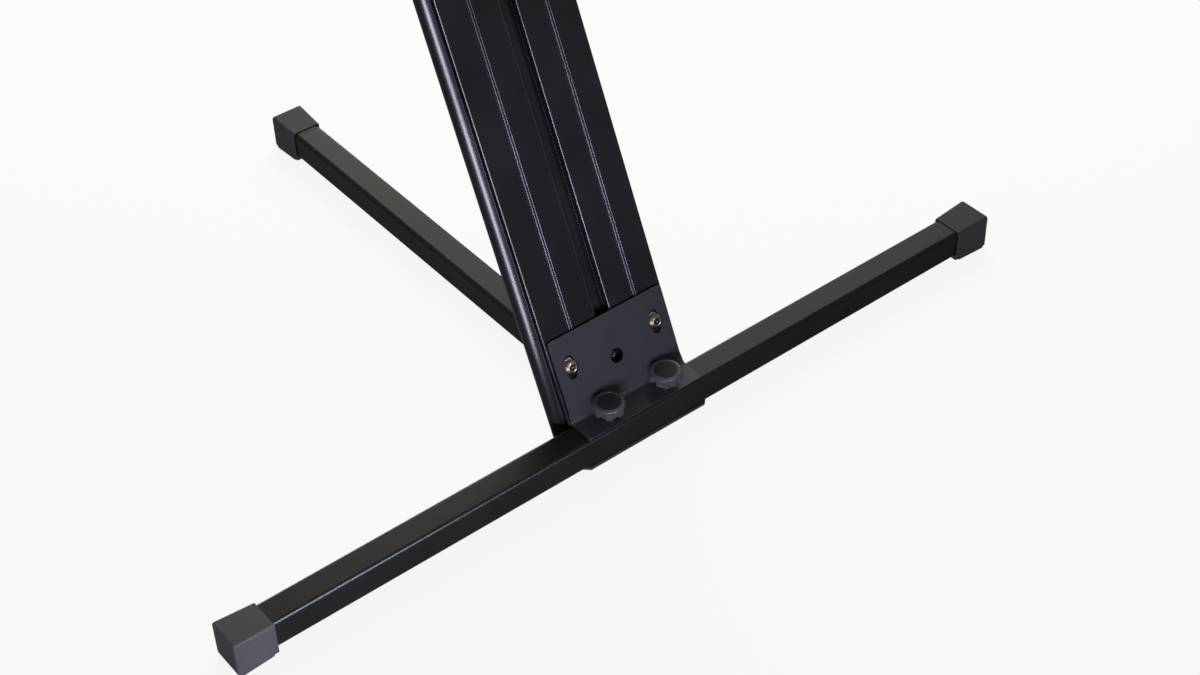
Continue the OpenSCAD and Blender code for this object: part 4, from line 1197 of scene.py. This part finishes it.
@dataclass
class Tier(SubAssembly):
    """One tier: carriage, clamp, beam and two folding arms. Its nodes' names begin with its level."""

    level: str
    sizes = PadSizes()
    # Where the clamp knob sits: out of the column's front, and up along it, in millimetres
    clamp_out = 18.7
    clamp_ups = {"lower": 716.0, "upper": 1022.0}

    def ridge_tree(self) -> Tree:
        """Builds the tree that lays half-round ridges side by side on a pad.

        Returns:
            The tree, with the inputs Ridges, Pitch, Length and Radius.
        """
        known = bpy.data.node_groups.get("pad_ridges")
        if known is not None:
            return known
        tree = geometry_tree("pad_ridges", {
            "Ridges": "NodeSocketInt", "Pitch": "NodeSocketFloat", "Length": "NodeSocketFloat",
            "Radius": "NodeSocketFloat", "Start": "NodeSocketVector"})
        given = add(tree, "NodeGroupInput").outputs
        step = add(tree, "ShaderNodeCombineXYZ", {"X": given["Pitch"]})
        rows = add(tree, "GeometryNodeMeshLine", {
            "Count": given["Ridges"], "Start Location": given["Start"], "Offset": step})
        away = add(tree, "ShaderNodeCombineXYZ", {"Y": given["Length"]})
        line = add(tree, "GeometryNodeCurvePrimitiveLine", {"End": away})
        circle = {"Resolution": 12, "Radius": given["Radius"]}
        outline = add(tree, "GeometryNodeCurvePrimitiveCircle", circle)
        ridge = add(tree, "GeometryNodeCurveToMesh", {
            "Curve": line, "Profile Curve": outline, "Fill Caps": True})
        laid = add(tree, "GeometryNodeInstanceOnPoints", {"Points": rows, "Instance": ridge})
        both = add(tree, "GeometryNodeJoinGeometry", {"Geometry": laid})
        tree.links.new(given["Geometry"], both.inputs[0])
        real = add(tree, "GeometryNodeRealizeInstances", {"Geometry": both})
        skin = {"Geometry": real, "Material": PAD_RUBBER.material()}
        dressed = add(tree, "GeometryNodeSetMaterial", skin)
        add(tree, "NodeGroupOutput", {"Geometry": dressed})
        return tree

    def pad(self, hand: str) -> None:
        """Makes one arm's pad: the strip, with its ridges up to the node's top.

        Args:
            hand: The arm's side, left or right.
        """
        node = f"{self.level}_pad_{hand}"
        low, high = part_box(node)
        size = self.sizes
        top = high.z - size.ridge_r * MM
        tall = (top - low.z) / MM
        middle = (low.x + high.x) / 2
        end = size.end_round
        rings = []
        for y, inset in ((low.y, end), (low.y + end * MM, 0.0), (high.y - end * MM, 0.0), (high.y, end)):
            run = corner_run(size.width / 2 - inset, inset, tall - inset, size.corner, 4)
            rings.append([(middle + x * MM, y, low.z + z * MM) for x, z in run])
        strip = ring_loft(rings, f"{self.level}_{hand}_arm_pad", 40.0)
        start = (middle - (size.ridges - 1) * size.pitch * MM / 2, low.y + size.margin * MM, top)
        values = {"Ridges": size.ridges, "Pitch": size.pitch * MM, "Radius": size.ridge_r * MM,
                  "Length": high.y - low.y - 2 * size.margin * MM, "Start": start}
        self.dress(grown(strip, self.ridge_tree(), values), node)

    def build(self) -> None:
        """Makes the tier's pieces."""
        level = self.level
        self.keep(f"{level}_glides", f"{level}_shoe")
        for node, name, edge_mm in (("carriage", "hooked_carriage", 0.5), ("beam", "coated_beam", 0.3),
                                    ("beam_plugs", "beam_end_plugs", 0.6), ("saddles", "arm_saddles", 0.4),
                                    ("arm_bolts", "arm_hex_bolts", 0.35), ("clamp_stud", "brake_stud", 0.4)):
            self.soften(f"{level}_{node}", f"{level}_{name}", edge_mm)
        base = on_column(0.0, -self.clamp_out, self.clamp_ups[level])
        knob = CLAMP_KNOB.build(f"{level}_star_knob", base, OUT_OF_COLUMN, RIGHTWARD)
        self.dress(knob, f"{level}_clamp_knob")
        for hand in ("left", "right"):
            self.soften(f"{level}_arm_{hand}", f"{level}_{hand}_arm_tube", 0.3)
            self.soften(f"{level}_cap_{hand}", f"{level}_{hand}_arm_cap", 0.9, 3)
            self.pad(hand)


@dataclass(frozen=True)
class Softbox:
    """A flat lamp with its size in metres, power and colour, kept to some pieces or off some."""

    name: str
    place: Point
    aim: Point
    width: float
    high: float
    watts: float
    colour: str
    spread_deg: float = 180.0
    lean_deg: float = 0.0
    gloss_only: bool = False
    lights: tuple[str, ...] = ()
    spares: tuple[str, ...] = ()

    def lit_pieces(self) -> list[Piece]:
        """Finds the pieces that the lamp is kept to.

        Returns:
            The pieces, or none where the lamp lights everything.
        """
        if self.lights:
            return [bpy.data.objects[piece] for piece in self.lights]
        if self.spares:
            return [piece for piece in bpy.data.objects
                    if piece.type == "MESH" and not piece.name.startswith(self.spares)]
        return []

    def build(self) -> None:
        """Hangs the lamp and turns it to its aim."""
        lamp = bpy.data.lights.new(self.name, "AREA")
        lamp.shape = "RECTANGLE"
        lamp.size, lamp.size_y = self.width, self.high
        lamp.energy = self.watts
        lamp.color = srgb(self.colour)[:3]
        lamp.spread = math.radians(self.spread_deg)
        held = linked(self.name, lamp)
        held.location = self.place
        held.visible_camera = False
        turn = (Vector(self.aim) - Vector(self.place)).to_track_quat("-Z", "Y")
        held.rotation_euler = (turn @ Quaternion(UPWARD, math.radians(self.lean_deg))).to_euler()
        held.visible_diffuse = not self.gloss_only
        pieces = self.lit_pieces()
        if pieces:
            lit = bpy.data.collections.new(self.name + "_lights")
            for piece in pieces:
                lit.objects.link(piece)
            held.light_linking.receiver_collection = lit


SOFTBOXES = (
    Softbox("edge_softbox", (-0.06, -1.16, 0.80), (-0.52, -0.23, 0.03), 0.42, 0.46, 16.0, "d9e0ff", 60.0,
            gloss_only=True, spares=(FLOOR_NAME, COLUMN_NAME, *TIER_PREFIXES)),
    Softbox("side_strip", (-0.353, -0.122, 0.207), (-0.074, -0.122, 0.207), 0.08, 0.44, 6.6, "f0f6ff",
            lean_deg=LEAN_DEG, gloss_only=True, lights=(COLUMN_NAME,)),
    Softbox("low_left_softbox", (-0.62, -0.95, 0.25), (-0.2, -0.25, 0.12), 0.50, 0.40, 17.0, "e4e8ff",
            spares=(FLOOR_NAME, *TIER_PREFIXES)),
    Softbox("rear_softbox", (0.5, 2.3, 0.3), (0.05, 0.1, 0.5), 2.2, 0.5, 60.0, "fff8f0",
            spares=(FLOOR_NAME,)),
    Softbox("back_softbox", (1.45, 1.70, 1.95), (0.1, 0.0, 0.0), 1.9, 1.9, 76.0, "fff8f0"),
)


@dataclass(frozen=True)
class Studio:
    """Camera, floor and world."""

    eye: Point = (-0.9646, -1.4396, 1.4769)
    yaw_deg: float = 37.277
    pitch_deg: float = 41.151
    roll_deg: float = -1.934
    lens_mm: float = 64.05
    sensor_mm: float = 36.0
    floor_half: float = 12.0
    floor_paper: str = "969696"
    floor_seen: str = "f4f4f4"
    floor_glow: float = 0.9
    floor_gleam: float = 0.3
    fill: float = 0.07

    def camera(self) -> None:
        """Sets the camera where the photograph was taken from."""
        yaw, pitch, roll = (math.radians(v) for v in (self.yaw_deg, self.pitch_deg, self.roll_deg))
        turn = Matrix.Rotation(-yaw, 4, "Z") @ Matrix.Rotation(math.pi / 2 - pitch, 4, "X")
        optics = bpy.data.cameras.new("camera")
        optics.sensor_width = self.sensor_mm
        optics.sensor_fit = "HORIZONTAL"
        optics.lens = self.lens_mm
        held = linked("camera", optics)
        held.matrix_world = Matrix.Translation(self.eye) @ turn @ Matrix.Rotation(roll, 4, "Z")
        bpy.context.scene.camera = held

    def seen(self, tree: Tree, gleam: float) -> Socket:
        """Tells by what kind of ray a surface is looked at.

        Args:
            tree: The floor's or the world's tree.
            gleam: The value for a glossy or transmitted ray.

        Returns:
            A socket that gives 1 for a camera ray, the gleam for those two, and else 0.
        """
        path = add(tree, "ShaderNodeLightPath").outputs
        other = {0: path["Is Glossy Ray"], 1: path["Is Transmission Ray"]}
        either = add(tree, "ShaderNodeMath", other, operation="MAXIMUM")
        dimmed = add(tree, "ShaderNodeMath", {0: either, 1: gleam}, operation="MULTIPLY")
        direct = {0: path["Is Camera Ray"], 1: dimmed}
        return add(tree, "ShaderNodeMath", direct, operation="MAXIMUM").outputs[0]

    def floor(self) -> None:
        """Lays the white floor, which keeps a soft shadow of the stand."""
        h = self.floor_half
        mesh = bpy.data.meshes.new(FLOOR_NAME)
        mesh.from_pydata([(-h, -h, 0.0), (h, -h, 0.0), (h, h, 0.0), (-h, h, 0.0)], [], [(0, 1, 2, 3)])
        laid = linked(FLOOR_NAME, mesh)
        paper = bpy.data.materials.new("white_seamless_paper")
        paper.use_nodes = True
        tree = paper.node_tree
        tree.nodes.clear()
        seen = self.seen(tree, self.floor_gleam)
        tones = {"Factor": seen, 6: srgb(self.floor_paper), 7: srgb(self.floor_seen)}
        tone = add(tree, "ShaderNodeMix", tones, data_type="RGBA").outputs[2]
        matt = add(tree, "ShaderNodeBsdfDiffuse", {"Color": tone})
        glow = add(tree, "ShaderNodeEmission", {"Color": srgb("ffffff"), "Strength": 1.0})
        share = {0: seen, 1: self.floor_glow}
        share = add(tree, "ShaderNodeMath", share, operation="MULTIPLY")
        mixed = add(tree, "ShaderNodeMixShader", {0: share, 1: matt, 2: glow})
        add(tree, "ShaderNodeOutputMaterial", {"Surface": mixed})
        laid.data.materials.append(paper)

    def world(self) -> None:
        """Surrounds the stand with white where it is seen, and with a soft fill elsewhere."""
        around = bpy.data.worlds.new("studio")
        bpy.context.scene.world = around
        around.use_nodes = True
        tree = around.node_tree
        tree.nodes.clear()
        span = {"Value": self.seen(tree, 1.0), "To Min": self.fill, "To Max": 1.0}
        strength = add(tree, "ShaderNodeMapRange", span)
        sky = add(tree, "ShaderNodeBackground", {"Color": srgb("ffffff"), "Strength": strength})
        add(tree, "ShaderNodeOutputWorld", {"Surface": sky})

    def build(self) -> None:
        """Sets up camera, floor and world."""
        bpy.context.scene.view_settings.view_transform = "Standard"
        self.camera()
        self.floor()
        self.world()


def main() -> None:
    """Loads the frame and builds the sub-assemblies in order."""
    logging.basicConfig(level=logging.INFO, format="%(name)s: %(message)s")
    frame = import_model()
    nodes = frame["nodes"]
    slots = {n: o.material_slots[0].material.name.split(".")[0] for n, o in nodes.items()}
    Studio().build()
    parts: list[SubAssembly] = [
        Base(nodes, slots), Bracket(nodes, slots), Column(nodes, slots), RearLeg(nodes, slots),
        Tier(nodes, slots, "lower"), Tier(nodes, slots, "upper")]
    for part in parts:
        part.build()
    for lamp in SOFTBOXES:
        lamp.build()


if __name__ == "__main__":
    main()
